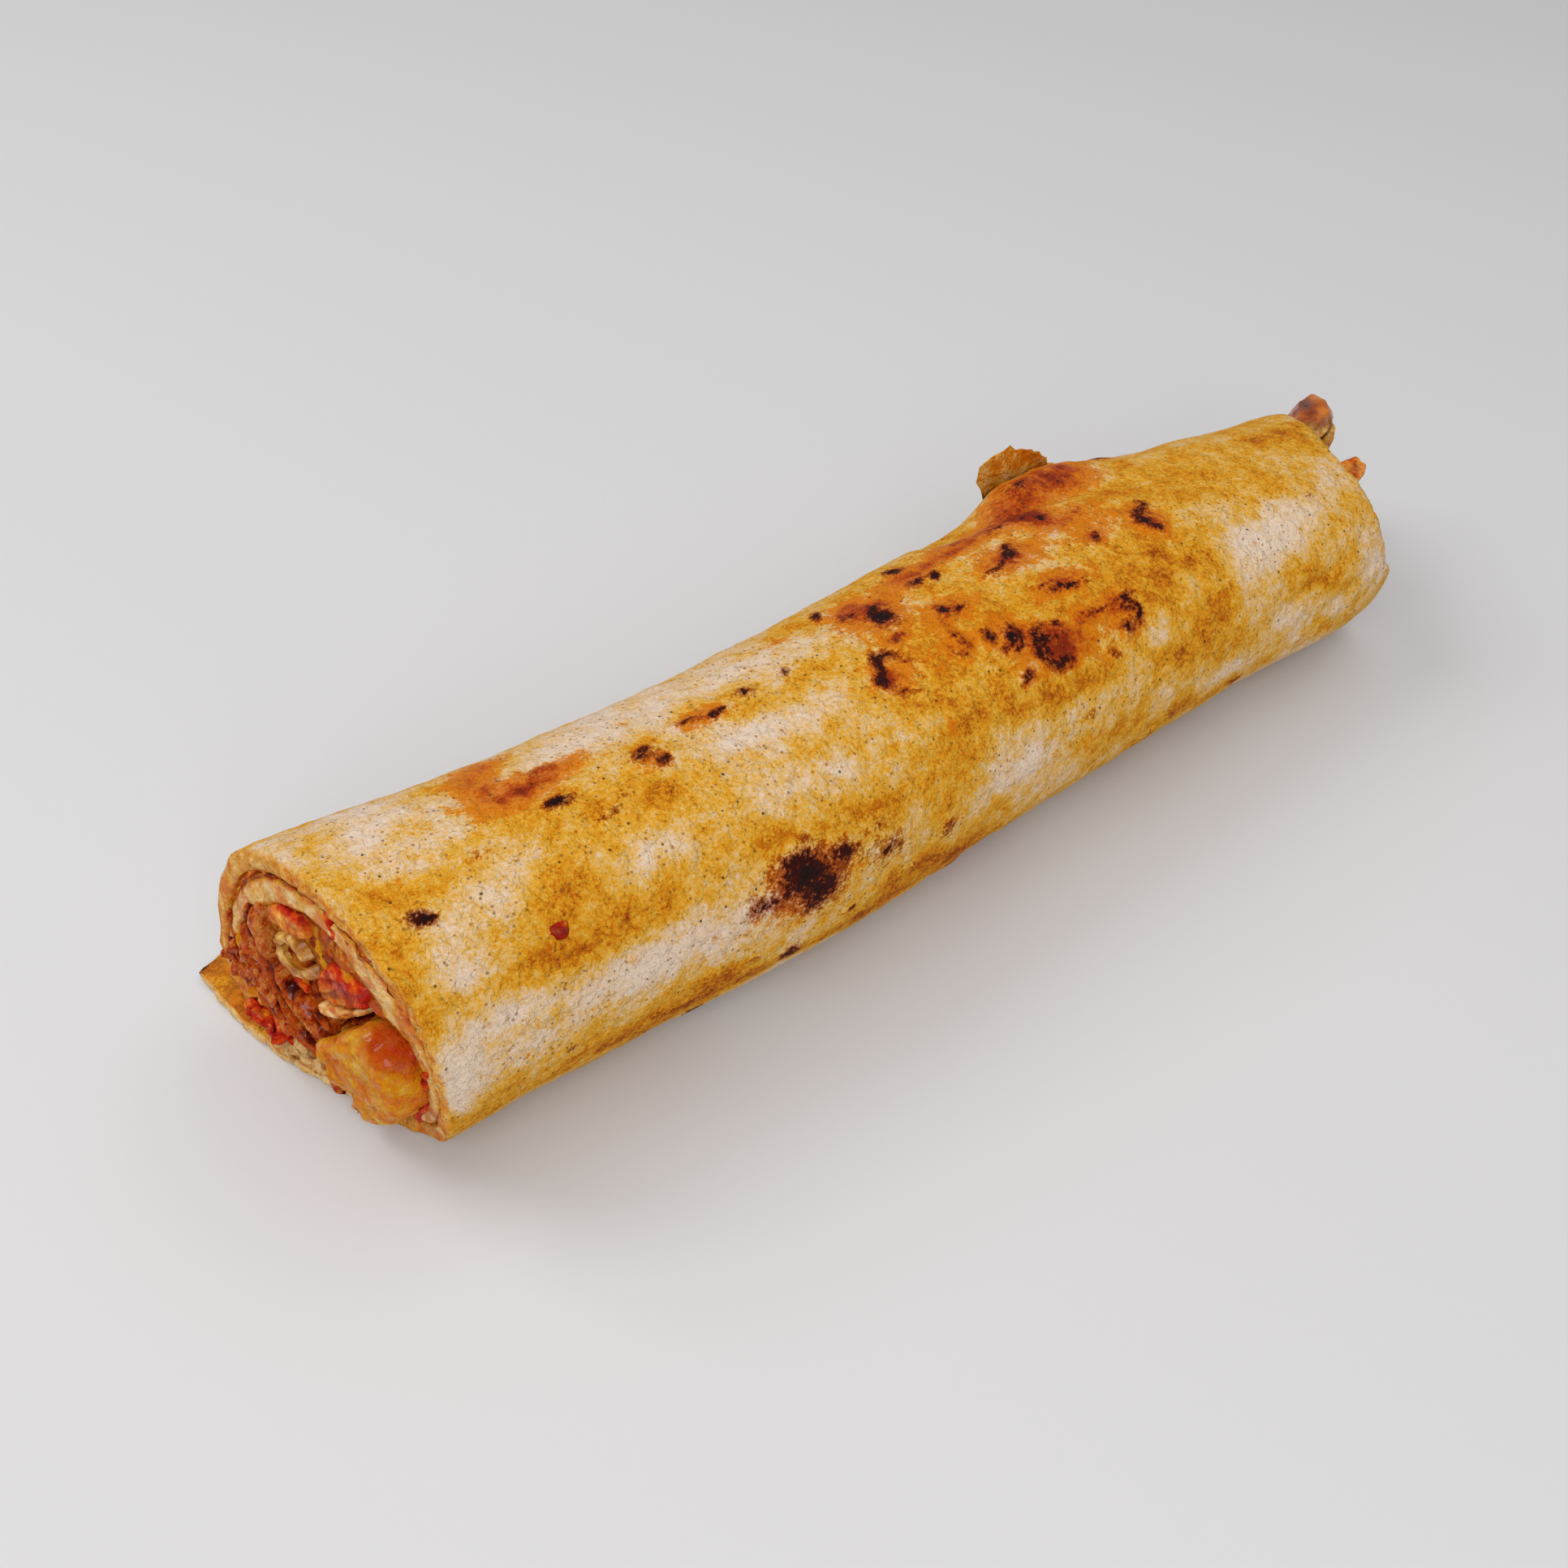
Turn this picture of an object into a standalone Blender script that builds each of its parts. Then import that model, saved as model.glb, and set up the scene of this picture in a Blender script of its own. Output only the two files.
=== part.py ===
"""Chicken doner wrap: one flatbread rolled round its fillings, cut at one end, as it lies on its side.

X runs along the wrap from the cut end to the open end, +Y is the side away from the eater, +Z is up.
Lengths are in centimetres while the shapes are worked out, and CM makes them metres in the mesh.
"""

import math

import bmesh
import bpy
from mathutils import Vector, noise

CM = 0.01

# The roll, station by station along X: half its width, its middle line and its height.
STATION_X = (-13.6, -10.0, -6.0, -2.0, 2.0, 6.0, 9.0, 11.5)
HALF_WIDTH = (2.84, 2.65, 2.81, 2.86, 2.97, 3.2, 2.87, 2.45)
MIDLINE_Y = (-1.33, -1.65, -1.86, -1.74, -1.58, -1.38, -1.78, -1.6)
HEIGHT = (5.1, 5.0, 4.8, 4.7, 4.6, 4.4, 4.1, 3.8)
SQUARENESS = 2.3
BACK_BULGE = 0.55
BULGE_ANGLE = -40.0
BULGE_SPREAD = 69.0
SINK = 0.1

# Where the stations of the mesh stand, closer together at the lifted flake.
MESH_X = (-13.9, -12.6, -11.2, -9.6, -8.0, -6.4, -4.8, -3.2, -1.6, 0.0, 1.6, 2.8, 3.5, 3.9, 4.4,
          5.0, 5.5, 6.0, 7.0, 9.0, 11.0)
NEAR_X, FAR_X = MESH_X[0], MESH_X[-1]

# The cut at the near end, low down and at the top, and the edge of the sheet at the far end.
NEAR_EDGE_Y = (-4.2, -2.8, -1.3, 0.3, 1.7, 3.1)
NEAR_LOW_X = (-13.3, -13.26, -13.75, -14.32, -14.52, -14.6)
NEAR_HIGH_X = (-13.25, -13.45, -13.58, -13.76, -13.95, -14.2)
FAR_EDGE_Y = (-4.3, -3.2, -2.3, -1.1, -0.2, 1.0, 2.6)
FAR_EDGE_X = (9.6, 9.9, 10.2, 10.9, 11.3, 11.5, 11.3)
FAR_LOW_Z, FAR_LOW_SLOPE = 2.65, 0.25
INNER_EDGE_BACK = 0.3
EDGE_UNEVEN = 0.05
CORNER_TURN, CORNER_OUT = 90.0, 0.35

# The bread: its thickness, how it spirals in, and its lap on the back.
BREAD_THICK = 0.25
LAYER_STEP = 0.32
SHEET_END_TURN = 672.0
OUTER_TURN = 250.0
UNDER_TURN = 345.0
COLUMN_TURN = 9.0
SLACK_TURN = (345.0, 400.0, 450.0, 500.0, 540.0, 585.0, 630.0, 650.0, 672.0)
SLACK = (0.0, 0.0, 0.02, 0.16, 0.16, 0.2, 0.06, 0.08, 0.3)
LAP_X = (-14.6, -11.0, -5.0, 0.0, 3.5, 3.9, 5.1, 5.7, 6.4, 8.5, 11.5)
LAP_TURN = (92.0, 93.0, 94.0, 94.0, 98.0, 128.0, 131.0, 124.0, 112.0, 95.0, 78.0)
LAP_COLUMNS = 12
TURN_PER_CM = 21.5
PEEL_FROM, PEEL_LENGTH = -14.1, 2.2
LAP_STEP_TURN = 80.0

# The torn flake that stands off the back.
FLAKE_X = (3.55, 3.9, 4.6, 5.2, 5.7, 6.6, 8.0)
FLAKE_LIFT = (0.0, 0.62, 0.68, 0.6, 0.25, 0.0, 0.0)
FLAKE_REACH = 40.0
FLAKE_RISE = 0.15

# The space inside the rolled bread, which the fillings share.
ROOM_INSET = 0.57
UNEVEN = 0.05
UNEVEN_LENGTH = 3.5

# Vector noise takes its offsets from the clock unless it has a seed.
UNEVEN_SEED = 1795521159

# Fillings as cut across at the near end: the corners of each, (Y, Z), and how far its two ends stand out.
FILLINGS = {
    "chicken_chunk": dict(
        corners=((-1.33, 1.72), (-1.9, 2.27), (-2.5, 2.92), (-3.0, 2.98), (-3.3, 2.75),
                 (-3.46, 2.2), (-3.35, 1.62), (-3.05, 1.18), (-2.75, 0.9), (-2.42, 0.7),
                 (-2.05, 0.68), (-2.12, 1.0), (-1.72, 1.2)),
        near_out=0.1, far_out=-0.3, near_tip="droop", colour="chicken"),
    "chicken_strip_top": dict(
        corners=((-1.28, 4.2), (-1.9, 4.15), (-2.5, 3.9), (-2.95, 3.5), (-3.2, 3.05), (-2.85, 3.12),
                 (-2.5, 3.6), (-1.95, 3.66), (-1.35, 3.64)),
        near_out=-0.1, far_out=-0.9, colour="meat"),
    "meat_strip_upper": dict(
        corners=((0.2, 3.72), (0.45, 3.3), (0.48, 2.6), (0.1, 2.1), (-0.45, 1.62), (-0.9, 1.17),
                 (-1.22, 1.24), (-1.15, 1.66), (-0.85, 1.98), (-0.4, 2.3), (0.0, 2.6), (0.1, 3.1)),
        near_out=0.0, far_out=-0.3, colour="meat"),
    "meat_strip_back": dict(
        corners=((0.8, 2.8), (0.8, 2.2), (0.64, 1.72), (0.36, 1.38), (0.0, 1.08), (-0.5, 0.99),
                 (-0.78, 1.12), (-0.35, 1.55), (0.2, 2.0), (0.56, 2.45), (0.58, 2.85),
                 (0.68, 3.05)),
        near_out=-0.1, far_out=-0.4, colour="meat"),
    "meat_strip_low": dict(
        corners=((0.36, 1.22), (0.0, 1.03), (-0.5, 0.93), (-0.95, 0.98), (-0.98, 0.7),
                 (-0.55, 0.76), (0.0, 0.92), (0.3, 1.06)),
        near_out=-0.15, far_out=-0.2, colour="meat"),
    "meat_piece_front": dict(
        corners=((-1.06, 0.68), (-1.1, 1.04), (-1.7, 1.11), (-2.04, 0.95), (-1.97, 0.68)),
        near_out=0.0, far_out=-0.4, colour="meat"),
    "tomato_wedge": dict(
        corners=((-1.0, 2.38), (-1.2, 3.05), (-1.5, 3.52), (-2.3, 3.47), (-2.42, 3.12),
                 (-2.05, 2.86), (-1.6, 2.6)),
        near_out=-0.05, far_out=0.0, far_tip="tomato_tip", colour="tomato"),
    "tomato_slice": dict(
        corners=((0.0, 3.5), (-0.02, 3.8), (-0.4, 4.05), (-0.95, 4.1), (-1.14, 3.9), (-1.0, 3.7),
                 (-0.6, 3.64), (-0.22, 3.56)),
        near_out=0.0, far_out=-0.6, colour="tomato"),
    "tomato_low": dict(
        corners=((0.52, 1.14), (0.33, 0.99), (0.0, 0.87), (-0.5, 0.72), (-0.5, 0.66), (0.0, 0.79),
                 (0.35, 0.92), (0.6, 1.1)),
        near_out=0.0, far_out=-0.5, colour="tomato"),
    "onion_strip": dict(
        corners=((-0.88, 2.14), (-1.08, 2.3), (-1.6, 2.51), (-2.0, 2.75), (-2.1, 2.66),
                 (-1.68, 2.32), (-1.1, 2.05)),
        near_out=0.0, far_out=-0.3, colour="onion"),
    "roasted_pepper": dict(
        corners=((-0.95, 3.18), (-0.82, 3.42), (-0.55, 3.52), (-0.22, 3.4), (-0.04, 3.08),
                 (-0.15, 2.72), (-0.52, 2.52), (-0.85, 2.58), (-1.06, 2.84), (-0.88, 2.94),
                 (-0.7, 2.76), (-0.5, 2.74), (-0.32, 2.88), (-0.26, 3.1), (-0.38, 3.26),
                 (-0.58, 3.36), (-0.74, 3.28), (-0.82, 3.12)),
        near_out=-0.05, far_out=0.0, far_tip="pepper_tip", colour="pepper"),
}

# Past its end a filling is finished by rings: (how far out, its size there, its rise, its shift in Y).
TIPS = {
    "blunt": ((0.12, 0.86, 0.0, 0.0),),
    "tomato_tip": ((0.3, 1.0, 0.12, 0.0), (0.9, 0.8, 0.4, 0.0), (1.4, 0.5, 0.5, 0.0),
                   (1.6, 0.3, 0.5, 0.0)),
    "pepper_tip": ((0.25, 1.2, 0.2, 0.2), (0.7, 1.55, 0.35, 0.45), (1.4, 1.75, 0.55, 0.65),
                   (1.85, 1.5, 0.65, 0.7), (2.1, 0.9, 0.65, 0.7)),
    "droop": ((0.16, 1.0, 0.0, 0.0), (0.38, 1.0, 0.0, 0.05), (0.5, 0.85, 0.0, 0.05)),
}
DROOP_FALL, DROOP_SHIFT, DROOP_TOP = 0.5, 0.25, 1.9

COLOURS = {
    "bread": ((0.72, 0.5, 0.27), 0.75),
    "chicken": ((0.62, 0.25, 0.05), 0.4),
    "meat": ((0.33, 0.13, 0.07), 0.5),
    "tomato": ((0.6, 0.07, 0.02), 0.3),
    "onion": ((0.68, 0.55, 0.4), 0.35),
    "pepper": ((0.3, 0.2, 0.06), 0.35),
}


def clear_scene():
    for thing in list(bpy.data.objects):
        bpy.data.objects.remove(thing, do_unlink=True)


def curve_through(knots, values, at):
    """A smooth curve through the values, read at one place, level beyond the ends."""
    if at <= knots[0]:
        return values[0]
    if at >= knots[-1]:
        return values[-1]
    i = max(k for k in range(len(knots) - 1) if knots[k] <= at)

    def slope(k):
        low, high = max(k - 1, 0), min(k + 1, len(knots) - 1)
        return (values[high] - values[low]) / (knots[high] - knots[low])

    step = knots[i + 1] - knots[i]
    t = (at - knots[i]) / step
    start = (1 + 2 * t) * (1 - t) ** 2 * values[i] + t * (1 - t) ** 2 * step * slope(i)
    end = t * t * (3 - 2 * t) * values[i + 1] + t * t * (t - 1) * step * slope(i + 1)
    return start + end


def ease(t):
    t = min(max(t, 0.0), 1.0)
    return t * t * (3 - 2 * t)


def rounded(c):
    return math.copysign(abs(c) ** (2 / SQUARENESS), c)


def width_share(x):
    return (curve_through(STATION_X, HALF_WIDTH, x) - ROOM_INSET) / (HALF_WIDTH[0] - ROOM_INSET)


def height_share(x):
    return (curve_through(STATION_X, HEIGHT, x) / 2 - ROOM_INSET) / (HEIGHT[0] / 2 - ROOM_INSET)


def ring(x, turn, inset):
    """(y, z) of a layer: turn degrees round from the foot by way of the front, inset inside the skin."""
    angle = math.radians(270 - turn)
    width = curve_through(STATION_X, HALF_WIDTH, x) - inset
    height = curve_through(STATION_X, HEIGHT, x)
    off = (270 - turn - BULGE_ANGLE + 180) % 360 - 180
    near_bulge = math.cos(math.radians(90 * min(abs(off) / BULGE_SPREAD, 1)))
    bulge = BACK_BULGE * width_share(x) * near_bulge ** 2
    y = curve_through(STATION_X, MIDLINE_Y, x) + width * rounded(math.cos(angle)) + bulge
    z = height / 2 + (height / 2 - inset) * rounded(math.sin(angle)) - SINK * max(-math.sin(angle), 0.0) ** 3
    return y, max(z, inset)


def layer_inset(x, turn):
    """How deep the middle of the bread lies inside the roll's skin."""
    skin = BREAD_THICK / 2
    if turn <= OUTER_TURN:
        return skin
    deeper = LAYER_STEP * ease((turn - OUTER_TURN) / (UNDER_TURN - OUTER_TURN))
    return skin + deeper + curve_through(SLACK_TURN, SLACK, turn) * height_share(x)


def lap_point(x, share):
    """(y, z) on the lap that closes the roll, from the foot (share 0) to the outer edge (share 1)."""
    reach = curve_through(LAP_X, LAP_TURN, x)
    turn = share * reach
    skin = BREAD_THICK / 2
    y, z = ring(x, -turn, skin - LAYER_STEP * ease(turn / LAP_STEP_TURN))
    flat_y = curve_through(STATION_X, MIDLINE_Y, x) + turn / TURN_PER_CM
    peel = 1 - ease((x - PEEL_FROM) / PEEL_LENGTH)
    y, z = y + (flat_y - y) * peel, z + (skin - z) * peel
    lift = curve_through(FLAKE_X, FLAKE_LIFT, x) * ease((turn - reach + FLAKE_REACH) / FLAKE_REACH)
    return y + lift, max(z, skin) + lift * FLAKE_RISE


def sheet_point(x, column):
    """(y, z) on the middle of the bread: columns below zero are the lap, the others go round and in."""
    if column < 0:
        return lap_point(x, -column / LAP_COLUMNS)
    turn = min(column * COLUMN_TURN, SHEET_END_TURN)
    return ring(x, turn, layer_inset(x, turn))


def settle(x, y, z):
    """Small hand-made unevenness that moves everything at one place together, and nothing at the foot."""
    height = curve_through(STATION_X, HEIGHT, x)
    lift = UNEVEN * ease(z / height)
    wave = noise.noise_vector(Vector((x, y, z)) / UNEVEN_LENGTH)
    return x, y + lift * wave.y, z + lift * wave.z


def stretch_to_ends(x, y, z, near_out=0.0, far_out=0.0):
    """Shifts x so that the stations end on the slanted cut and on the sheet's far edge."""
    low = curve_through(NEAR_EDGE_Y, NEAR_LOW_X, y)
    high = curve_through(NEAR_EDGE_Y, NEAR_HIGH_X, y)
    near = low + (high - low) * z / HEIGHT[0] - near_out
    far = curve_through(FAR_EDGE_Y, FAR_EDGE_X, y) + FAR_LOW_SLOPE * max(FAR_LOW_Z - z, 0.0) + far_out
    along = (x - NEAR_X) / (FAR_X - NEAR_X)
    return near + along * (far - near)


def on_sheet(x, column):
    y, z = sheet_point(x, column)
    inner = ease((column * COLUMN_TURN - OUTER_TURN) / (UNDER_TURN - OUTER_TURN))
    uneven = EDGE_UNEVEN * noise.noise(Vector((column, x, 0.0)))
    corner = CORNER_OUT * max(1 - abs(column * COLUMN_TURN - CORNER_TURN) / COLUMN_TURN, 0)
    end_x = stretch_to_ends(x, y, z, uneven, uneven + corner - INNER_EDGE_BACK * inner)
    y, z = sheet_point(end_x, column)
    return Vector(settle(end_x, y, z)) * CM


def in_room(x, y, z):
    """Carries a point of the near section to the section at x, with the space inside the bread."""
    y = curve_through(STATION_X, MIDLINE_Y, x) + (y - MIDLINE_Y[0]) * width_share(x)
    z = curve_through(STATION_X, HEIGHT, x) / 2 + (z - HEIGHT[0] / 2) * height_share(x)
    return y, z


def material(name):
    colour, roughness = COLOURS[name]
    made = bpy.data.materials.new(name)
    made.use_nodes = True
    shader = made.node_tree.nodes["Principled BSDF"]
    shader.inputs["Base Color"].default_value = (*colour, 1)
    shader.inputs["Roughness"].default_value = roughness
    return made


def add_object(name, bm, finish):
    bmesh.ops.recalc_face_normals(bm, faces=bm.faces)
    mesh = bpy.data.meshes.new(name)
    bm.to_mesh(mesh)
    bm.free()
    mesh.shade_smooth()
    mesh.set_sharp_from_angle(angle=math.radians(40))
    mesh.materials.append(finish)
    piece = bpy.data.objects.new(name, mesh)
    bpy.context.scene.collection.objects.link(piece)
    return piece


def flatbread(finish):
    """A flat grid, rolled up along the spiral, then given its thickness on both sides."""
    columns = LAP_COLUMNS + math.ceil(SHEET_END_TURN / COLUMN_TURN)
    rows = len(MESH_X) - 1
    bm = bmesh.new()
    bmesh.ops.create_grid(bm, x_segments=columns, y_segments=rows, size=0.5)
    for corner in bm.verts:
        column = round((corner.co.x + 0.5) * columns) - LAP_COLUMNS
        row = round((corner.co.y + 0.5) * rows)
        corner.co = on_sheet(MESH_X[row], column)
    piece = add_object("flatbread", bm, finish)
    thicken = piece.modifiers.new("thickness", "SOLIDIFY")
    thicken.thickness = BREAD_THICK * CM
    thicken.offset = 0
    thicken.use_even_offset = True
    return piece


def filling_point(x, corner, shape):
    """A corner of a filling, where the wrap's station x puts it."""
    end_x = stretch_to_ends(x, *in_room(x, *corner), shape["near_out"], shape["far_out"])
    return Vector(settle(end_x, *in_room(end_x, *corner)))


def drooped(point):
    """Lets the lower part of the chunk hang over the edge of the bread."""
    fall = ease((DROOP_TOP - point.z) / DROOP_TOP)
    return point + Vector((0, DROOP_SHIFT * fall, -DROOP_FALL * fall))


def tip_rings(ends, side, tip):
    """The rings past one end: the end ring moved out, scaled about its middle, raised and shifted."""
    middle = sum(ends, Vector()) / len(ends)
    for out, size, rise, shift in TIPS[tip]:
        moved = [middle + (p - middle) * size + Vector((side * out, shift, rise)) for p in ends]
        yield [drooped(p) for p in moved] if tip == "droop" else moved


def filling(name, shape, finish):
    """The outline drawn out along the wrap, ring by ring, with a tip at both ends."""
    body = [[filling_point(x, corner, shape) for corner in shape["corners"]] for x in MESH_X[::2]]
    near = list(tip_rings(body[0], -1, shape.get("near_tip", "blunt")))
    far = list(tip_rings(body[-1], 1, shape.get("far_tip", "blunt")))
    rings = near[::-1] + body + far
    bm = bmesh.new()
    index = bm.verts.layers.int.new("corner")
    start = [bm.verts.new(point * CM) for point in rings[0]]
    for number, vert in enumerate(start):
        vert[index] = number
    face = bm.faces.new(start)
    for points in rings[1:]:
        made = bmesh.ops.extrude_face_region(bm, geom=[face, *face.edges])["geom"]
        face = next(part for part in made if isinstance(part, bmesh.types.BMFace))
        for vert in face.verts:
            vert.co = points[vert[index]] * CM
    return add_object(name, bm, finish)


def stand_on_origin(pieces):
    """Moves the whole wrap so that the middle of its foot is at the origin."""
    bpy.context.view_layer.update()
    graph = bpy.context.evaluated_depsgraph_get()
    points = [vert.co.copy() for piece in pieces for vert in piece.evaluated_get(graph).data.vertices]
    low = Vector([min(p[i] for p in points) for i in range(3)])
    high = Vector([max(p[i] for p in points) for i in range(3)])
    for piece in pieces:
        piece.location = (-(low.x + high.x) / 2, -(low.y + high.y) / 2, -low.z)


def main():
    clear_scene()
    noise.seed_set(UNEVEN_SEED)
    finishes = {name: material(name) for name in COLOURS}
    pieces = [flatbread(finishes["bread"])]
    for name, shape in FILLINGS.items():
        pieces.append(filling(name, shape, finishes[shape["colour"]]))
    stand_on_origin(pieces)


main()
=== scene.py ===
# %% [markdown]
# # A chicken doner wrap
# The wrap is a toasted flatbread rolled round meat, tomato, onion and pepper. It lies on its side, cut
# across at the near end. The solids are loaded first, because every piece below takes its place from
# them, and nothing has to be fitted by eye.

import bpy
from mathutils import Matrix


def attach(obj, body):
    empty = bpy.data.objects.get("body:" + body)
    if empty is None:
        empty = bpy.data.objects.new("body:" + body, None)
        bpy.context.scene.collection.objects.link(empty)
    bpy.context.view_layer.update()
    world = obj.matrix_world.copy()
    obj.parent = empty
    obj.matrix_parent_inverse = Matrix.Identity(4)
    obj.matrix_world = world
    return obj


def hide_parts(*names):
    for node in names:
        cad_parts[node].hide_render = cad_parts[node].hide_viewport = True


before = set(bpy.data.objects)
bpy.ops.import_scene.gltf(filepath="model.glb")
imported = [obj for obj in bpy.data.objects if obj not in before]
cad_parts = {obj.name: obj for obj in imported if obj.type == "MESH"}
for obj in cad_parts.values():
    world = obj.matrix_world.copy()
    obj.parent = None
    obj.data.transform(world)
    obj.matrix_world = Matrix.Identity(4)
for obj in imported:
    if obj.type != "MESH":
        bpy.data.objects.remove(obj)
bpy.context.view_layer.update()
print("solids:", sorted(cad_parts))

# %% [markdown]
# ## Tools
# Blender's own modules make the shapes, and its noise gives crags and dents. All draws are seeded, so
# the wrap comes out the same each time. The noise needs a seed too: its vector kind takes its offsets
# from the clock otherwise. This is the seed that the solids were made with.

# %% Modules and units
import math
import random

import bmesh
import bpy
from mathutils import Matrix, Vector, noise

CM = 0.01
SHIFT = Vector((0.6446, 0.8431, 0.0011)) * CM
NOISE_SEED = 1795521159
noise.seed_set(NOISE_SEED)
print("units: centimetres in the sums, metres in the meshes")


# %% [markdown]
# ## Sums in the shader
# A finish is a net of nodes. It could be wired by hand, but then the sums are hard to read. So one
# small class wraps a node's output and lets Python's plus, minus and times add the Math nodes.

# %% Values of a shader
class Value:
    """One output of a node, which can be used in sums."""

    def __init__(self, finish, socket):
        self.finish, self.socket = finish, socket

    def maths(self, operation, first, second):
        return self.finish.node("ShaderNodeMath", {"operation": operation}, {0: first, 1: second})

    def __add__(self, other):
        return self.maths("ADD", self, other)

    def __sub__(self, other):
        return self.maths("SUBTRACT", self, other)

    def __rsub__(self, other):
        return self.maths("SUBTRACT", other, self)

    def __mul__(self, other):
        return self.maths("MULTIPLY", self, other)

    __radd__, __rmul__ = __add__, __mul__

    def most(self, other):
        return self.maths("MAXIMUM", self, other)

    def apart(self, middle):
        """How far the value is from a middle one."""
        return self.maths("ABSOLUTE", self - middle, 0.0)

    def step(self, low, high):
        """0 below low, 1 above high, and smooth between."""
        settings = {"interpolation_type": "SMOOTHSTEP"}
        inputs = {"Value": self, "From Min": low, "From Max": high}
        return self.finish.node("ShaderNodeMapRange", settings, inputs)


def linear(c):
    """One channel of a colour, from 0 to 255 as a picture editor gives it, as the shader counts it."""
    return c / 255 / 12.92 if c < 11 else ((c / 255 + 0.055) / 1.055) ** 2.4


def tone(*channels):
    """A colour from its red, green and blue, each from 0 to 255."""
    return tuple(linear(c) for c in channels)


class Finish:
    """A material, with one method that adds any node: its settings first, then its sockets."""

    def __init__(self, name, **sockets):
        self.material = bpy.data.materials.new(name)
        self.material.use_nodes = True
        self.tree = self.material.node_tree
        self.shader = self.tree.nodes["Principled BSDF"]
        for key, value in sockets.items():
            self.feed(self.shader.inputs[key.replace("_", " ")], value)

    def node(self, kind, settings, inputs, output=0):
        made = self.tree.nodes.new(kind)
        for key, value in settings.items():
            if key == "stops":
                self.set_stops(made.color_ramp, value)
            else:
                setattr(made, key, value)
        for key, value in inputs.items():
            self.feed(made.inputs[key], value)
        return Value(self, made.outputs[output])

    def set_stops(self, ramp, stops):
        while len(ramp.elements) < len(stops):
            ramp.elements.new(0.5)
        for element, (place, colour) in zip(ramp.elements, stops):
            element.position, element.color = place, (*colour, 1)

    def feed(self, socket, value):
        if isinstance(value, Value):
            self.tree.links.new(value.socket, socket)
        elif socket.type == "RGBA":
            socket.default_value = (*value, 1)
        else:
            socket.default_value = value

    def set(self, name, value):
        self.feed(self.shader.inputs[name], value)

    def place(self, stretch=(1, 1, 1)):
        """Object coordinates in millimetres, stretched along the axes."""
        spot = self.node("ShaderNodeTexCoord", {}, {}, 3)
        size = tuple(1000 / s for s in stretch)
        return self.node("ShaderNodeVectorMath", {"operation": "MULTIPLY"}, {0: spot, 1: size})

    def grain(self, size, detail=2.0, stretch=(1, 1, 1), rough=0.5):
        """Noise from about 0.3 to 0.7, with lumps of that size in millimetres."""
        inputs = {"Vector": self.place(stretch), "Scale": 1 / size, "Detail": detail, "Roughness": rough}
        return self.node("ShaderNodeTexNoise", {}, inputs)

    def cells(self, size, output=0):
        """Distance (0) or colour (1) of scattered cells of that size in millimetres."""
        return self.node("ShaderNodeTexVoronoi", {}, {"Vector": self.place(), "Scale": 1 / size}, output)

    def mask(self, name):
        return self.node("ShaderNodeAttribute", {"attribute_name": name}, {}, 2)

    def mix(self, share, under, over):
        return self.node("ShaderNodeMix", {"data_type": "RGBA"}, {0: share, 6: under, 7: over}, 2)

    def ramp(self, value, stops):
        return self.node("ShaderNodeValToRGB", {"stops": stops}, {0: value})

    def bump(self, height, depth, under=None):
        inputs = {"Height": height, "Distance": depth * 0.001}
        if under:
            inputs["Normal"] = under
        return self.node("ShaderNodeBump", {}, inputs)


print("shader sums ready")

# %% [markdown]
# ## The roll's measures
# The bread's path is worked out from named sizes: the half width, the middle line and the height at a
# few stations, with smooth curves between. They are the solid's own sizes, so the fine sheet below
# lies exactly where the solid does.

# %% Named sizes of the roll
STATION_X = (-13.6, -10.0, -6.0, -2.0, 2.0, 6.0, 9.0, 11.5)
HALF_WIDTH = (2.84, 2.65, 2.81, 2.86, 2.97, 3.2, 2.87, 2.45)
MIDLINE_Y = (-1.33, -1.65, -1.86, -1.74, -1.58, -1.38, -1.78, -1.6)
HEIGHT = (5.1, 5.0, 4.8, 4.7, 4.6, 4.4, 4.1, 3.8)
SQUARENESS = 2.3
BACK_BULGE, BULGE_ANGLE, BULGE_SPREAD = 0.55, -40.0, 69.0
SINK = 0.1
NEAR_X, FAR_X = -13.9, 11.0
NEAR_EDGE_Y = (-4.2, -2.8, -1.3, 0.3, 1.7, 3.1)
NEAR_LOW_X = (-13.3, -13.26, -13.75, -14.32, -14.52, -14.6)
NEAR_HIGH_X = (-13.25, -13.45, -13.58, -13.76, -13.95, -14.2)
FAR_EDGE_Y = (-4.3, -3.2, -2.3, -1.1, -0.2, 1.0, 2.6)
FAR_EDGE_X = (9.6, 9.9, 10.2, 10.9, 11.3, 11.5, 11.3)
FAR_LOW_Z, FAR_LOW_SLOPE = 2.65, 0.25
INNER_EDGE_BACK = 0.3
CORNER_TURN, CORNER_OUT = 90.0, 0.35
BREAD_THICK, LAYER_STEP = 0.25, 0.32
SHEET_END_TURN, OUTER_TURN, UNDER_TURN = 672.0, 250.0, 345.0
SLACK_TURN = (345.0, 400.0, 450.0, 500.0, 540.0, 585.0, 630.0, 650.0, 672.0)
SLACK = (0.0, 0.0, 0.02, 0.16, 0.16, 0.2, 0.06, 0.08, 0.3)
LAP_X = (
    -14.75, -14.6, -14.4, -14.0, -11.0, -5.0, 0.0, 3.4, 3.9, 4.05, 4.6, 5.0, 5.4, 5.9, 6.6, 8.5, 11.5,
)
LAP_TURN = (
    86.0, 90.0, 92.0, 93.0, 93.0, 94.0, 94.0, 96.0, 112.0, 135.0, 139.0, 135.0, 126.0, 115.0, 104.0,
    95.0, 78.0,
)
LAP_STEP_TURN, TURN_PER_CM = 80.0, 21.5
PEEL_FROM, PEEL_LENGTH = -14.1, 2.2
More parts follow.
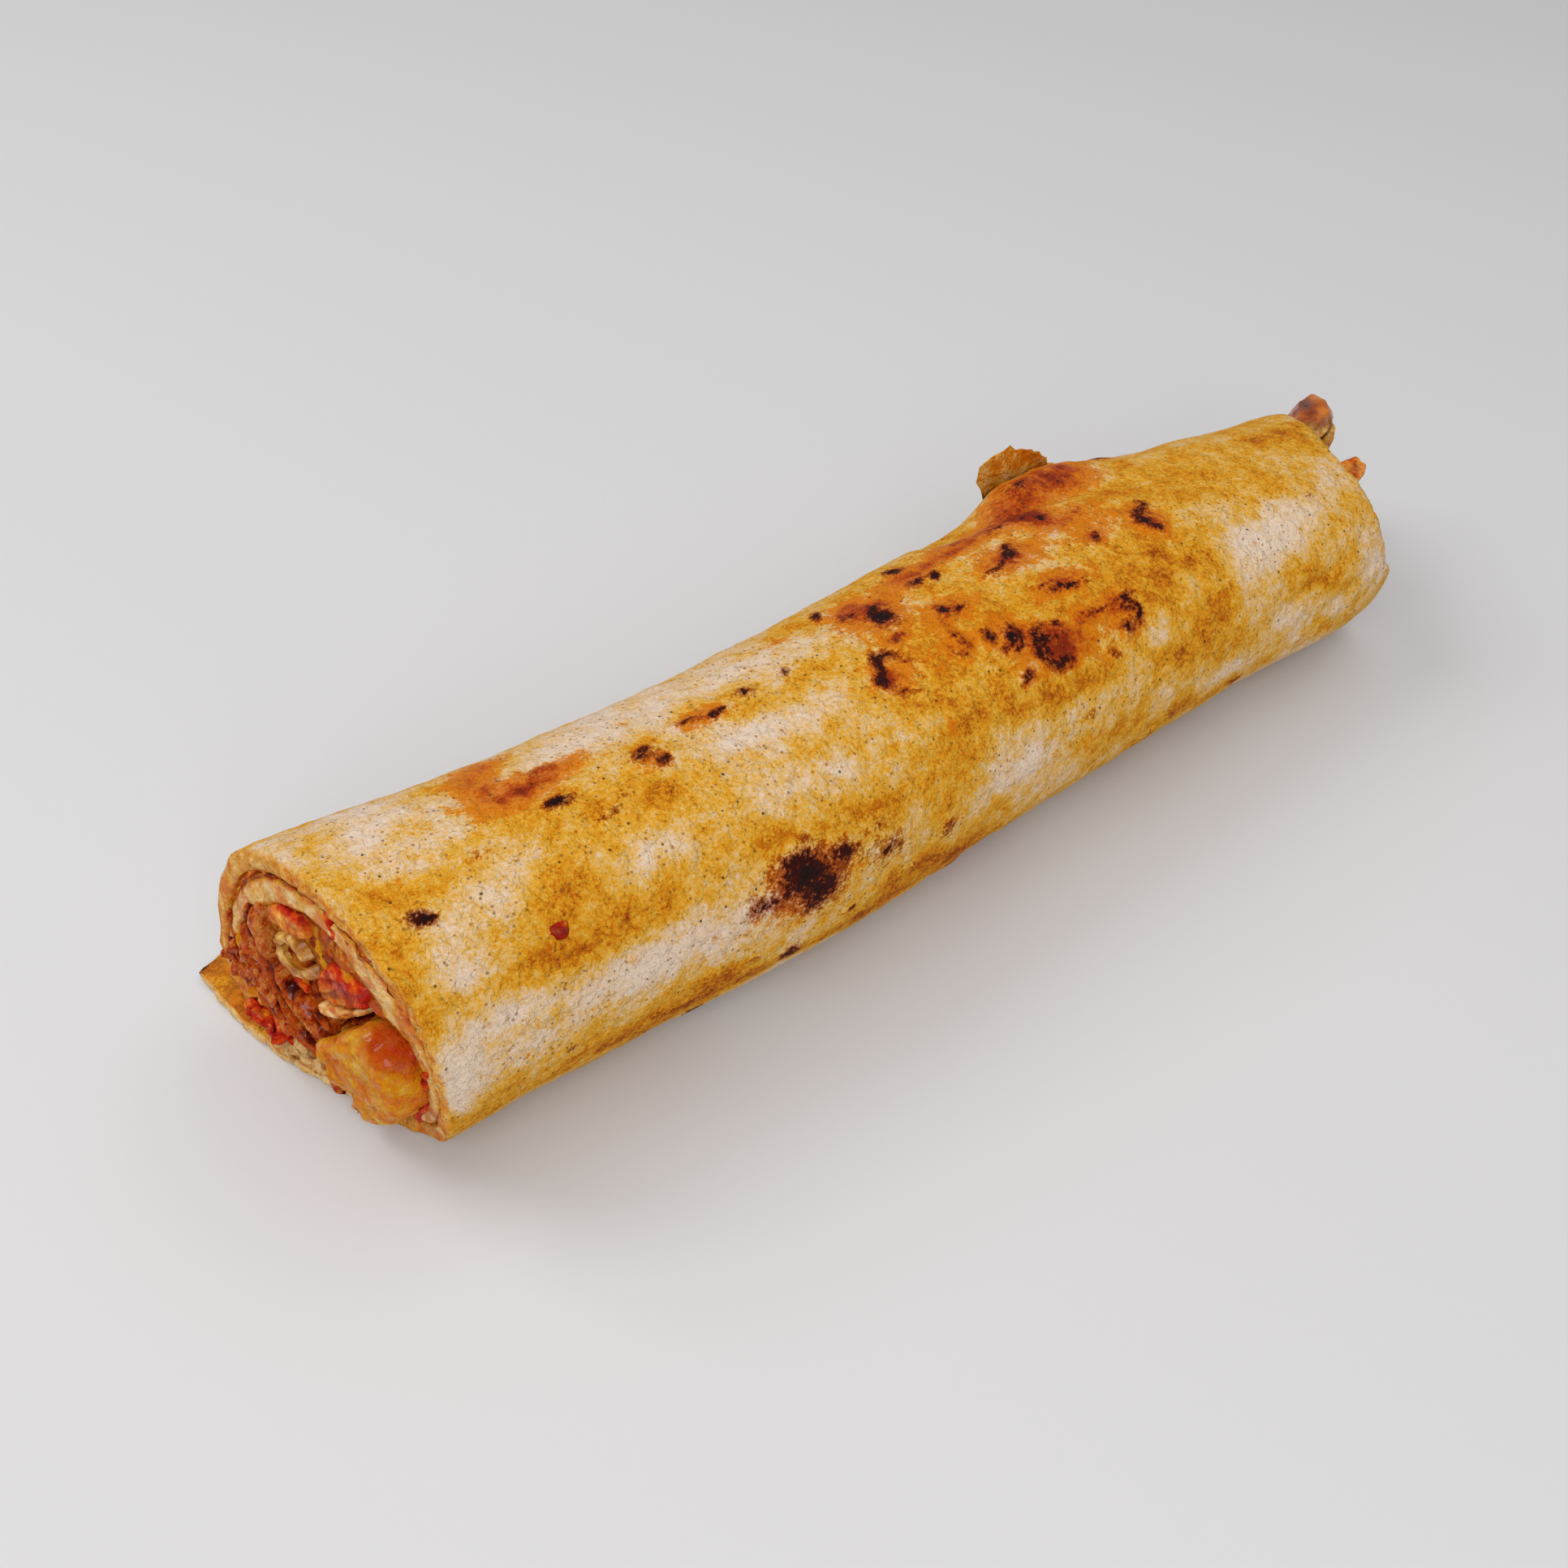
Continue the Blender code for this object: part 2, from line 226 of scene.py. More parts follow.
FLAKE_X = (0.4, 1.2, 1.9, 2.4, 2.8, 3.3, 4.0, 4.6, 5.1, 5.6, 6.2, 7.0, 7.6, 8.4)
FLAKE_LIFT = (0.0, -0.1, -0.1, -0.02, 0.08, 0.18, 0.17, 0.15, 0.1, 0.03, -0.06, -0.12, -0.08, 0.0)
FLAKE_RISE, FLAKE_LEAN = 1.3, 0.3
STAND_X = (3.9, 4.05, 4.2, 4.45, 4.7, 5.0, 5.4, 5.8)
STAND = (0.0, 0.25, 0.27, 0.36, 0.24, 0.07, 0.0, 0.0)
STAND_LEAN = (0.0, 0.75, 0.45, 0.2, 0.1, 0.03, 0.0, 0.0)
STAND_ARC, STAND_BACK, STAND_UP = 15.0, 1.2, 0.44
RIDGE_BACK, RIDGE_TOP, RIDGE_FALL, RIDGE_WIDE = 22.0, 48.0, 52.0, 17.0
ROOM_INSET = 0.57
UNEVEN, UNEVEN_LENGTH = 0.05, 3.5
print("roll: %.1f cm long, %.1f cm high at the cut" % (FAR_X - NEAR_X, HEIGHT[0]))

# %% [markdown]
# The named sizes say what the roll measures at its stations. A smooth curve through them gives every
# place between. Straight lines would leave a kink at each station.

# %% Curves through the named sizes
def curve_through(knots, values, at):
    """A smooth curve through the values, read at one place, level beyond the ends."""
    if at <= knots[0]:
        return values[0]
    if at >= knots[-1]:
        return values[-1]
    i = max(k for k in range(len(knots) - 1) if knots[k] <= at)

    def slope(k):
        low, high = max(k - 1, 0), min(k + 1, len(knots) - 1)
        return (values[high] - values[low]) / (knots[high] - knots[low])

    step = knots[i + 1] - knots[i]
    t = (at - knots[i]) / step
    start = (1 + 2 * t) * (1 - t) ** 2 * values[i] + t * (1 - t) ** 2 * step * slope(i)
    end = t * t * (3 - 2 * t) * values[i + 1] + t * t * (t - 1) * step * slope(i + 1)
    return start + end


def ease(t):
    """A soft step: 0 up to t = 0, 1 from t = 1 on."""
    t = min(max(t, 0.0), 1.0)
    return t * t * (3 - 2 * t)


def rounded(c):
    """A sine or cosine pushed outwards, which makes a circle a little square."""
    return math.copysign(abs(c) ** (2 / SQUARENESS), c)


print("half width in the middle: %.2f cm" % curve_through(STATION_X, HALF_WIDTH, 0.0))


# %% [markdown]
# The section is a circle that has been pressed a little square. A layer of bread is a ring of it, and
# turn says how far round: 0 at the foot, 90 in front, 180 on top, 270 at the back.

# %% Layers of the roll
def width_share(x):
    """Half the width of the room inside the bread, as a share of that at the cut."""
    return (curve_through(STATION_X, HALF_WIDTH, x) - ROOM_INSET) / (HALF_WIDTH[0] - ROOM_INSET)


def height_share(x):
    """The same for the height."""
    return (curve_through(STATION_X, HEIGHT, x) / 2 - ROOM_INSET) / (HEIGHT[0] / 2 - ROOM_INSET)


def ring(x, turn, inset):
    """(y, z) of a layer, inset inside the skin."""
    angle = math.radians(270 - turn)
    width = curve_through(STATION_X, HALF_WIDTH, x) - inset
    height = curve_through(STATION_X, HEIGHT, x)
    off = (270 - turn - BULGE_ANGLE + 180) % 360 - 180
    near_bulge = math.cos(math.radians(90 * min(abs(off) / BULGE_SPREAD, 1)))
    bulge = BACK_BULGE * width_share(x) * near_bulge ** 2
    y = curve_through(STATION_X, MIDLINE_Y, x) + width * rounded(math.cos(angle)) + bulge
    sunk = SINK * max(-math.sin(angle), 0.0) ** 3
    z = height / 2 + (height / 2 - inset) * rounded(math.sin(angle)) - sunk
    return y, max(z, inset)


def layer_inset(x, turn):
    """How deep the middle of the bread lies inside the roll's skin."""
    skin = BREAD_THICK / 2
    if turn <= OUTER_TURN:
        return skin
    deeper = LAYER_STEP * ease((turn - OUTER_TURN) / (UNDER_TURN - OUTER_TURN))
    return skin + deeper + curve_through(SLACK_TURN, SLACK, turn) * height_share(x)


def flake_lift(x, angle):
    """How far all the bread is lifted near the torn flake, at an angle round the roll."""
    up = ease((angle - RIDGE_BACK) / (RIDGE_TOP - RIDGE_BACK))
    share = up * (1 - ease((angle - RIDGE_FALL) / RIDGE_WIDE))
    return curve_through(FLAKE_X, FLAKE_LIFT, x) * share


def lap_point(x, turn, reach):
    """(y, z) on the lap that closes the roll, how far it is lifted, and how far it leans to the cut."""
    skin = BREAD_THICK / 2
    y, z = ring(x, -turn, skin - LAYER_STEP * ease(turn / LAP_STEP_TURN))
    flat_y = curve_through(STATION_X, MIDLINE_Y, x) + turn / TURN_PER_CM
    peel = 1 - ease((x - PEEL_FROM) / PEEL_LENGTH)
    y, z = y + (flat_y - y) * peel, z + (skin - z) * peel
    lift = flake_lift(x, turn - 90)
    rise = max((turn - reach) / STAND_ARC + 1, 0) ** 2
    stand = curve_through(STAND_X, STAND, x) * rise
    y, z = y + lift + STAND_BACK * stand, max(z, skin) + lift * FLAKE_RISE + STAND_UP * stand
    return y, z, lift + stand, lift * FLAKE_LEAN + curve_through(STAND_X, STAND_LEAN, x) * rise


def settle(x, y, z):
    """Small hand-made unevenness that moves everything at one place together."""
    lift = UNEVEN * ease(z / curve_through(STATION_X, HEIGHT, x))
    wave = noise.noise_vector(Vector((x, y, z)) / UNEVEN_LENGTH)
    return x, y + lift * wave.y, z + lift * wave.z


def ends(y, z):
    """x of the cut and of the sheet's far edge, at one place of the section."""
    low = curve_through(NEAR_EDGE_Y, NEAR_LOW_X, y)
    high = curve_through(NEAR_EDGE_Y, NEAR_HIGH_X, y)
    far = curve_through(FAR_EDGE_Y, FAR_EDGE_X, y) + FAR_LOW_SLOPE * max(FAR_LOW_Z - z, 0.0)
    return low + (high - low) * z / HEIGHT[0], far


print("bread on top at the cut:", [round(v, 2) for v in ring(NEAR_X, 180, BREAD_THICK / 2)])

# %% [markdown]
# ## Where the bread is browned
# The griddle left its marks: wide golden fields, orange stripes and small black blisters. They could
# be noise alone, but then the wrap would look like any other. So each clear mark is named by its
# place along the wrap (cm), its angle round it (degrees: 0 back, 90 top, 180 front) and its size, and
# noise only roughens the edges. The toasted marks low on the front, by the foot, also hold painted shade.

# %% Named marks
TOASTED_AND_FOOT_SHADE = (
    # along, angle, half length, half width, how much
    (-11.8, 152, 1.3, 8, 0.16), (-9.6, 149, 1.4, 9, 0.2), (-10.6, 132, 0.9, 9, 0.2),
    (-12.6, 106, 0.5, 7, 0.2), (-8.1, 108, 1.0, 8, 0.2), (-10.4, 68, 0.8, 10, 0.24),
    (-6.9, 142, 1.3, 8, 0.2), (-5.0, 150, 1.2, 9, 0.16), (-3.2, 160, 0.9, 14, 0.2),
    (-2.0, 140, 1.3, 14, 0.22), (-4.6, 91, 1.3, 4, 0.16), (0.9, 150, 1.4, 8, 0.18),
    (1.7, 122, 1.6, 14, 0.22), (1.2, 180, 0.9, 8, 0.16), (-0.6, 105, 1.2, 10, 0.18),
    (3.2, 160, 1.2, 10, 0.16), (4.6, 148, 0.6, 8, 0.24), (3.4, 128, 1.4, 12, 0.14),
    (3.9, 112, 1.0, 12, 0.18), (7.6, 162, 0.6, 9, 0.22), (8.9, 133, 0.7, 9, 0.12),
    (8.4, 110, 0.8, 6, 0.14), (7.4, 80, 2.2, 12, 0.18), (7.6, 190, 1.2, 6, 0.2), (5.4, 95, 0.8, 10, 0.14),
    # The long marks from 189 to 201 degrees, low on the front, are toasting with painted shade by the
    # foot.
    (-9.2, 201, 2.6, 8, 0.5), (-3.6, 190, 1.4, 9, 0.3), (3.4, 193, 2.0, 8, 0.22),
    (-4.2, 200, 3.0, 7, 0.44), (4.2, 78, 1.0, 8, 0.2), (-5.9, 82, 0.9, 5, 0.3), (-8.2, 189, 0.9, 4, 0.26),
    (-5.6, 119, 1.0, 5, 0.1), (9.8, 84, 0.9, 10, 0.14), (-13.3, 140, 0.3, 50, 0.14),
    (-11.7, 108, 0.8, 4, 0.16), (-0.6, 148, 0.8, 6, 0.12),
)
PALE = (
    (-12.3, 74, 1.2, 14, 0.28), (-7.9, 73, 1.9, 11, 0.44), (-4.6, 76, 1.5, 10, 0.34),
    (-12.2, 176, 1.2, 8, 0.36), (-9.8, 174, 1.5, 8, 0.34), (-8.1, 174, 0.7, 10, 0.3),
    (-9.0, 130, 0.7, 7, 0.3), (-6.6, 124, 1.1, 7, 0.16), (-12.5, 142, 0.4, 5, 0.25),
    (-11.4, 121, 0.8, 6, 0.2), (-12.5, 97, 0.7, 5, 0.16), (-6.5, 100, 1.1, 5, 0.34),
    (-4.9, 103, 1.0, 6, 0.32), (-4.7, 128, 0.9, 9, 0.18), (-1.3, 172, 1.1, 10, 0.36),
    (0.3, 186, 0.8, 6, 0.14), (6.5, 131, 1.1, 13, 0.38), (5.6, 140, 0.5, 8, 0.2),
    (7.7, 122, 0.7, 8, 0.28), (9.4, 114, 0.6, 12, 0.3), (9.2, 168, 0.6, 9, 0.24), (4.6, 183, 1.4, 6, 0.2),
    (6.4, 173, 0.9, 7, 0.22), (2.7, 148, 0.25, 4, 0.25), (-10.6, 110, 0.9, 4, 0.14),
    (-5.6, 196, 1.4, 5, 0.12), (1.0, 196, 1.6, 5, 0.14), (8.4, 178, 0.7, 6, 0.14),
    (-12.3, 58, 1.2, 9, 0.22), (-8.2, 57, 1.6, 9, 0.34), (-5.4, 58, 1.0, 9, 0.32),
    (-11.9, 163, 1.3, 7, 0.34), (-10.4, 168, 1.0, 7, 0.16), (-13.1, 180, 0.25, 18, 0.34),
    (-8.8, 124, 0.7, 5, 0.2), (-8.4, 165, 0.8, 7, 0.2),
)
AMBER = (
    (-10.1, 88, 0.85, 7, 0.8), (-9.2, 84, 0.7, 5, 0.6), (-10.4, 74, 0.5, 11, 0.7),
    (-10.0, 60, 0.6, 9, 0.6), (-6.45, 86.5, 0.62, 4.5, 0.8), (-7.75, 95, 0.42, 6, 0.6),
    (3.4, 55, 1.6, 15, 0.75), (2.2, 66, 1.3, 9, 0.7), (4.6, 60, 0.8, 9, 0.6), (-2.1, 80, 0.75, 11, 0.95),
    (-2.3, 68, 0.5, 7, 0.6), (-0.7, 70, 0.7, 9, 0.85), (0.5, 70, 0.8, 5, 0.7), (0.3, 130, 0.55, 12, 1.0),
    (0.9, 133, 0.7, 9, 0.56), (-2.85, 107, 0.75, 13, 0.5), (-3.15, 108, 0.25, 7, 0.7),
    (4.42, 102, 0.45, 8, 0.95), (1.5, 107, 0.8, 6, 0.92), (1.1, 87, 0.85, 7, 0.95),
    (-0.9, 95, 0.6, 6, 0.88), (2.2, 133, 0.5, 10, 0.7), (1.7, 124, 0.8, 5, 0.56),
    (-0.45, 117, 0.5, 10, 0.88), (3.1, 96, 0.3, 3.5, 0.7), (-6.4, 165, 1.0, 15, 0.7),
    (2.7, 77, 0.35, 7, 0.85), (3.2, 84, 0.6, 4, 0.5), (-0.65, 136, 0.25, 5, 0.6),
    (-2.65, 137, 0.15, 5, 0.6), (-2.3, 95, 0.3, 3, 0.6), (-11.2, 105, 0.2, 3, 0.4),
    (-4.0, 67, 0.5, 6, 0.34), (-4.0, 186, 0.6, 3, 0.3), (-3.2, 178, 0.2, 4, 0.4),
    (-1.45, 110, 0.4, 9, 0.75), (1.4, 145, 0.4, 4, 0.4), (1.0, 177, 0.9, 5, 0.22),
    (4.6, 148, 0.5, 6, 0.26), (-12.6, 104, 0.4, 4, 0.22), (7.2, 191, 0.9, 4, 0.3),
    (3.5, 90, 1.2, 9, 0.42), (2.6, 72, 0.6, 6, 0.3), (4.6, 72, 0.7, 6, 0.4), (0.9, 60, 0.8, 8, 0.5),
)
CHARRED = (
    # along, angle, half length, half width, lean, depth
    (-6.45, 163, 0.5, 8.5, 8, 1.0), (-6.25, 172, 0.42, 5.5, -18, 0.95), (-7.25, 167, 0.36, 4.0, 0, 0.72),
    (-5.75, 161, 0.36, 5.0, 10, 0.7), (-6.55, 155, 0.3, 4.5, 0, 0.85), (-6.3, 148, 0.14, 3.5, 0, 0.55),
    (-4.72, 170, 0.28, 5.0, 0, 0.6), (-4.8, 158, 0.2, 2.6, 0, 0.5), (-5.15, 166, 0.2, 3.0, 0, 0.5),
    (-12.55, 117.5, 0.17, 2.1, 30, 1.0), (-12.38, 118.5, 0.1, 1.1, 0, 0.8),
    (-9.62, 97, 0.2, 1.4, 10, 0.95), (-7.85, 92.5, 0.2, 1.3, 0, 0.9), (-7.68, 97, 0.14, 2.6, -24, 0.95),
    (-6.65, 86.5, 0.24, 1.1, 4, 0.95), (-6.2, 87.5, 0.26, 1.2, 10, 0.95),
    (-5.45, 85.5, 0.14, 1.8, 10, 0.85), (-4.5, 85.5, 0.15, 1.0, 0, 0.65),
    (-9.05, 110, 0.14, 1.0, 0, 0.65), (-8.7, 104.5, 0.1, 1.4, 0, 0.55), (-11.27, 105, 0.13, 1.6, 0, 0.5),
    (-11.1, 189, 0.09, 1.1, 0, 0.75), (-6.82, 198, 0.17, 2.4, 0, 0.95), (-7.6, 190, 0.08, 0.9, 0, 0.7),
    (-8.45, 189.5, 0.13, 0.8, 0, 0.55), (-8.2, 186, 0.07, 1.2, 0, 0.6), (-5.55, 189, 0.12, 1.3, 0, 0.85),
    (-3.2, 178.5, 0.12, 2.6, 0, 0.7), (-4.0, 186, 0.3, 1.2, 0, 0.45), (-9.3, 199, 0.3, 1.2, 5, 0.5),
    (-2.05, 84, 0.22, 3.6, 20, 1.05), (-2.0, 79, 0.2, 2.0, 0, 0.8), (-2.4, 76, 0.2, 3.0, 0, 0.66),
    (-0.72, 76, 0.2, 2.2, -10, 0.8), (-0.35, 78, 0.1, 3.4, 30, 0.85), (-0.7, 62, 0.16, 3.4, 0, 0.95),
    (-0.8, 95.5, 0.32, 0.9, 6, 0.95), (-1.12, 94, 0.08, 2.6, 0, 0.9), (-1.55, 113.5, 0.14, 1.3, 30, 0.8),
    (-1.38, 107, 0.06, 4.4, -8, 0.66), (-0.4, 118, 0.1, 3.8, -18, 1.0), (-0.33, 114, 0.1, 1.2, 0, 0.85),
    (-0.82, 113, 0.1, 2.2, 14, 0.85), (-0.65, 121, 0.12, 2.4, -20, 0.7),
    (0.12, 124.5, 0.2, 2.2, -10, 1.0), (0.2, 136.5, 0.26, 2.4, 0, 0.8), (0.0, 131, 0.09, 4.5, 0, 0.85),
    (0.45, 127, 0.2, 2.0, 0, 0.7), (-0.66, 136, 0.12, 1.8, 0, 0.75), (0.65, 122, 0.12, 2.0, 0, 0.66),
    (2.35, 125, 0.24, 0.9, -4, 0.9), (1.75, 124.5, 0.4, 0.9, 10, 0.66), (2.1, 137.5, 0.14, 2.8, -10, 0.9),
    (2.36, 129.5, 0.12, 1.4, 20, 0.9), (1.45, 109, 0.3, 1.2, 10, 1.0), (1.15, 105.5, 0.26, 1.0, 10, 0.85),
    (1.9, 110.5, 0.12, 1.0, 0, 0.75), (0.75, 89.5, 0.3, 0.9, -4, 0.85), (1.15, 87.5, 0.28, 1.3, -14, 1.0),
    (1.35, 84, 0.16, 1.6, -20, 0.8), (3.1, 96.5, 0.16, 1.3, 0, 0.75), (3.5, 83.5, 0.14, 1.3, 0, 0.55),
    (2.7, 77.5, 0.12, 2.6, 0, 0.95), (2.6, 73, 0.16, 1.8, 0, 0.66), (4.4, 100, 0.15, 2.6, -10, 1.0),
    (4.6, 94.5, 0.2, 1.1, -14, 0.9), (4.45, 105.5, 0.1, 2.0, 20, 0.85), (1.5, 145, 0.16, 1.2, 34, 0.8),
    (0.5, 166, 0.1, 1.4, 0, 0.5), (3.35, 57, 0.3, 2.6, 0, 0.7), (4.2, 64, 0.2, 2.0, 0, 0.6),
    (1.9, 70, 0.28, 1.6, 6, 0.62), (0.9, 66, 0.2, 1.6, 0, 0.6), (8.75, 189, 0.12, 1.4, 30, 0.7),
    (2.9, 190, 0.12, 1.2, 0, 0.6), (2.5, 196, 0.14, 1.4, 0, 0.5), (5.1, 197, 0.2, 2.4, 0, 0.6),
    (-2.3, 95, 0.14, 0.9, 0, 0.7), (-10.9, 112, 0.12, 1.0, 0, 0.4), (8.35, 117, 0.1, 1.2, 0, 0.45),
    (-2.8, 64, 0.1, 3.0, 30, 0.8), (-5.05, 73, 0.05, 2.4, 0, 0.6), (-9.6, 82, 0.3, 1.2, 0, 0.42),
)
SCORCHED_RINGS = (
    # along, angle, half length, half width, darkest side (0 far, 90 front, 180 near, 270 back)
    (-2.83, 107.5, 0.42, 9.5, 215), (0.32, 129.5, 0.38, 9.5, 190), (4.5, 100.5, 0.26, 5.6, 250),
    (-0.5, 117.5, 0.28, 5.5, 30), (2.2, 131.5, 0.34, 7.0, 20),
)
DEGREE_CM = 0.0475
print("named marks:", len(TOASTED_AND_FOOT_SHADE) + len(PALE) + len(AMBER) + len(CHARRED) + len(SCORCHED_RINGS))

# %% [markdown]
# The back and the underside don't show, so their marks are drawn at random, with the sizes of those
# that do.

# %% Marks where nothing shows
draw = random.Random(7)


def unseen_angle():
    """An angle on the back or on the underside."""
    return draw.choice((draw.uniform(-88, 45), draw.uniform(205, 262)))


SPOTS_UNSEEN, FIELDS_UNSEEN = 34, 26
unseen_spots = [
    (draw.uniform(-12.5, 9), unseen_angle(), draw.uniform(0.1, 0.4), draw.uniform(1, 4),
     draw.uniform(-20, 20), draw.uniform(0.4, 0.95)) for _ in range(SPOTS_UNSEEN)]
unseen_fields = [
    (draw.uniform(-13, 10), unseen_angle(), draw.uniform(0.8, 2.2), draw.uniform(6, 15),
     draw.uniform(-0.4, 0.3)) for _ in range(FIELDS_UNSEEN)]
unseen_amber = [
    (x, angle, length + 0.35, width + 3, 0.6)
    for x, angle, length, width, lean, depth in unseen_spots[::2]]
print("marks on the hidden sides:", SPOTS_UNSEEN + FIELDS_UNSEEN)


# %% [markdown]
# Each mark is a soft spot: its strength falls off from the middle. Noise bends the distance, so that
# the spots get ragged edges and no two look alike.

# %% How strong the marks are at one place
BLISTER_BEND, BLISTER_FRAY, BLISTER_MIDDLE, BLISTER_FALL = 0.1, 0.04, 1.12, 0.52
RING_BEND, RING_LIGHT, RING_SHADE, RING_FALL = 0.16, 0.64, 0.36, 1.7
CLOUDS = ((1.9, 0.16), (0.7, 0.16), (0.3, 0.08))
TOAST_PLAIN, TOAST_SHARE, TOAST_MOST = 0.47, 0.86, 0.76


def layered(spot, layers):
    """Noises laid over each other, each with its size in centimetres and its strength."""
    return sum(strength * noise.noise(spot / size) for size, strength in layers)


def spread(x, angle, mark_x, mark_angle, length, width, lean=0.0):
    """How far a place is from a mark's middle, with 1 at its edge."""
    along, across = x - mark_x, (angle - mark_angle) * DEGREE_CM
    turn = math.radians(lean)
    a = along * math.cos(turn) + across * math.sin(turn)
    b = across * math.cos(turn) - along * math.sin(turn)
    return math.hypot(a / length, b / (width * DEGREE_CM))


def fields(marks, x, angle):
    """The sum of the soft fields there."""
    total = 0.0
    for mark_x, mark_angle, length, width, amount in marks:
        if abs(x - mark_x) < 3 * length and abs(angle - mark_angle) < 3 * width:
            total += amount * math.exp(-spread(x, angle, mark_x, mark_angle, length, width) ** 2)
    return total


def blisters(x, angle, spot):
    """How charred a place is: over 1 in the middle of a blister, half of that at its edge, 0 far off."""
    bend = noise.noise_vector(spot / 0.35) * BLISTER_BEND + noise.noise_vector(spot / 0.14) * BLISTER_FRAY
    x, angle = x + bend.x, angle + bend.y / DEGREE_CM
    most = 0.0
    for mark_x, mark_angle, length, width, lean, depth in (*CHARRED, *unseen_spots):
        if abs(x - mark_x) < 2 * length + 0.1 and abs(angle - mark_angle) < 2 * width + 3:
            far = spread(x, angle, mark_x, mark_angle, length, width, lean)
            most = max(most, depth * (BLISTER_MIDDLE - BLISTER_FALL * far))
    return most


def outlines(x, angle, spot):
    """How near a place is to a blister's dark outline, 1 on it, less on the blister's lighter side."""
    bend = noise.noise_vector(spot / 0.4) * RING_BEND
    x, angle = x + bend.x, angle + bend.y / DEGREE_CM
    most = 0.0
    for mark_x, mark_angle, length, width, darkest in SCORCHED_RINGS:
        far = spread(x, angle, mark_x, mark_angle, length, width)
        side = math.degrees(math.atan2((angle - mark_angle) * DEGREE_CM, x - mark_x))
        shade = RING_LIGHT + RING_SHADE * math.cos(math.radians(side - darkest))
        most = max(most, shade * (1 - abs(far - 1) * RING_FALL))
    return most


def toast_and_foot_shade(x, angle, spot):
    """How toasted a place is, with painted shade low on the front by the foot: about 0 where it is
    floury, 0.76 at the most.
    """
    there = fields((*TOASTED_AND_FOOT_SHADE, *unseen_fields), x, angle) - fields(PALE, x, angle)
    return min(TOAST_PLAIN + layered(spot, CLOUDS) + there * TOAST_SHARE, TOAST_MOST)


print("char in the big blister: %.2f" % blisters(-6.45, 163, Vector((-6.45, 0, 0))))

# %% [markdown]
# ## The flatbread
# The sheet is a flat grid that is rolled along the spiral. A grid keeps its rows and columns, so every
# point knows how far along and how far round it is. The rows are close together by the cut and where
# the blisters are, and the columns are close on top and in front.

# %% Rows and columns of the sheet
ROW_RUNS = ((NEAR_X, -12.7, 15), (-12.7, -3.6, 47), (-3.6, 6.2, 112), (6.2, FAR_X, 26))
COLUMN_RUNS = (
    (-1, 0, 28), (0, 66, 13), (66, 214, 88), (214, UNDER_TURN, 30), (UNDER_TURN, SHEET_END_TURN, 52),
)


def stops(runs):
    """The places in each run, evenly spaced, and the end of the last."""
    places = [low + (high - low) * i / count for low, high, count in runs for i in range(count)]
    return [*places, runs[-1][1]]


row_x, column_turn = stops(ROW_RUNS), stops(COLUMN_RUNS)
print("rows:", len(row_x), "columns:", len(column_turn))


# %% [markdown]
# A turn below zero stands for a share of the lap. The sheet's edges are torn a little by noise, more at
# the lifted flake, because torn bread is never straight.

# %% One point of the sheet
EDGE_TEAR, EDGE_NIBBLE, LAP_TEAR, FLAKE_TEAR, CRUMPLE = 0.05, 0.035, 2.6, 1.6, 0.2
FLAKE_START, FLAKE_END = 3.2, 6.0
CALM_TO, CALM_LENGTH = -12.0, 4.0
TURN_PER_ARC, ARC_PER_LAP, CORNER_HALF_TURN = 11, 10, 9


def sheet_point(x, turn):
    """(y, z, lift, lean, angle) on the middle of the bread."""
    if turn >= 0:
        y, z = ring(x, turn, layer_inset(x, turn))
        lift = flake_lift(x, 270 - turn) if 180 < turn < UNDER_TURN else 0.0
        return y + lift, z + lift * FLAKE_RISE, lift, lift * FLAKE_LEAN, 270 - turn
    reach = curve_through(LAP_X, LAP_TURN, x)
    torn = LAP_TEAR * (noise.noise(Vector((x / 0.5, 0, 3))) + 0.6 * noise.noise(Vector((x / 0.17, 0, 8))))
    ragged = 1 + FLAKE_TEAR * ease((x - FLAKE_START) / 0.4) * ease((FLAKE_END - x) / 0.6)
    back = -turn * (reach + torn * ragged * ease((x - CALM_TO) / CALM_LENGTH))
    return *lap_point(x, back, reach), back - 90


def on_sheet(row, turn):
    """The point (cm) on the bread's middle, its angle round the roll, and how far it is lifted."""
    y, z, lift, lean, angle = sheet_point(row, turn)
    near, far = ends(y, z)
    arc = turn / TURN_PER_ARC if turn >= 0 else turn * ARC_PER_LAP
    tear = EDGE_TEAR * noise.noise(Vector((arc * 1.2, row, 0.0)))
    tear += EDGE_NIBBLE * noise.noise(Vector((arc * 4, row, 5.0)))
    inner = ease((turn - OUTER_TURN) / (UNDER_TURN - OUTER_TURN))
    corner = CORNER_OUT * max(1 - abs(turn - CORNER_TURN) / CORNER_HALF_TURN, 0)
    along = (row - NEAR_X) / (FAR_X - NEAR_X)
    x = near - tear + along * (far + corner + 2 * tear - INNER_EDGE_BACK * inner - near)
    y, z, lift, lean, angle = sheet_point(x, turn)
    spot = Vector(settle(x - lean, y, z))
    return spot + CRUMPLE * lift * noise.noise_vector(spot / 0.45), angle, lift


print("a point on top:", on_sheet(0.0, 180.0)[0])

# %% [markdown]
# The bread is not smooth: it has shallow dents from the hand, small pockets from the bake, and blisters
# where it is charred. Heights in a vertex loop make the large ones real. The finest grain is left to
# the bump in the finish, which costs no vertices.

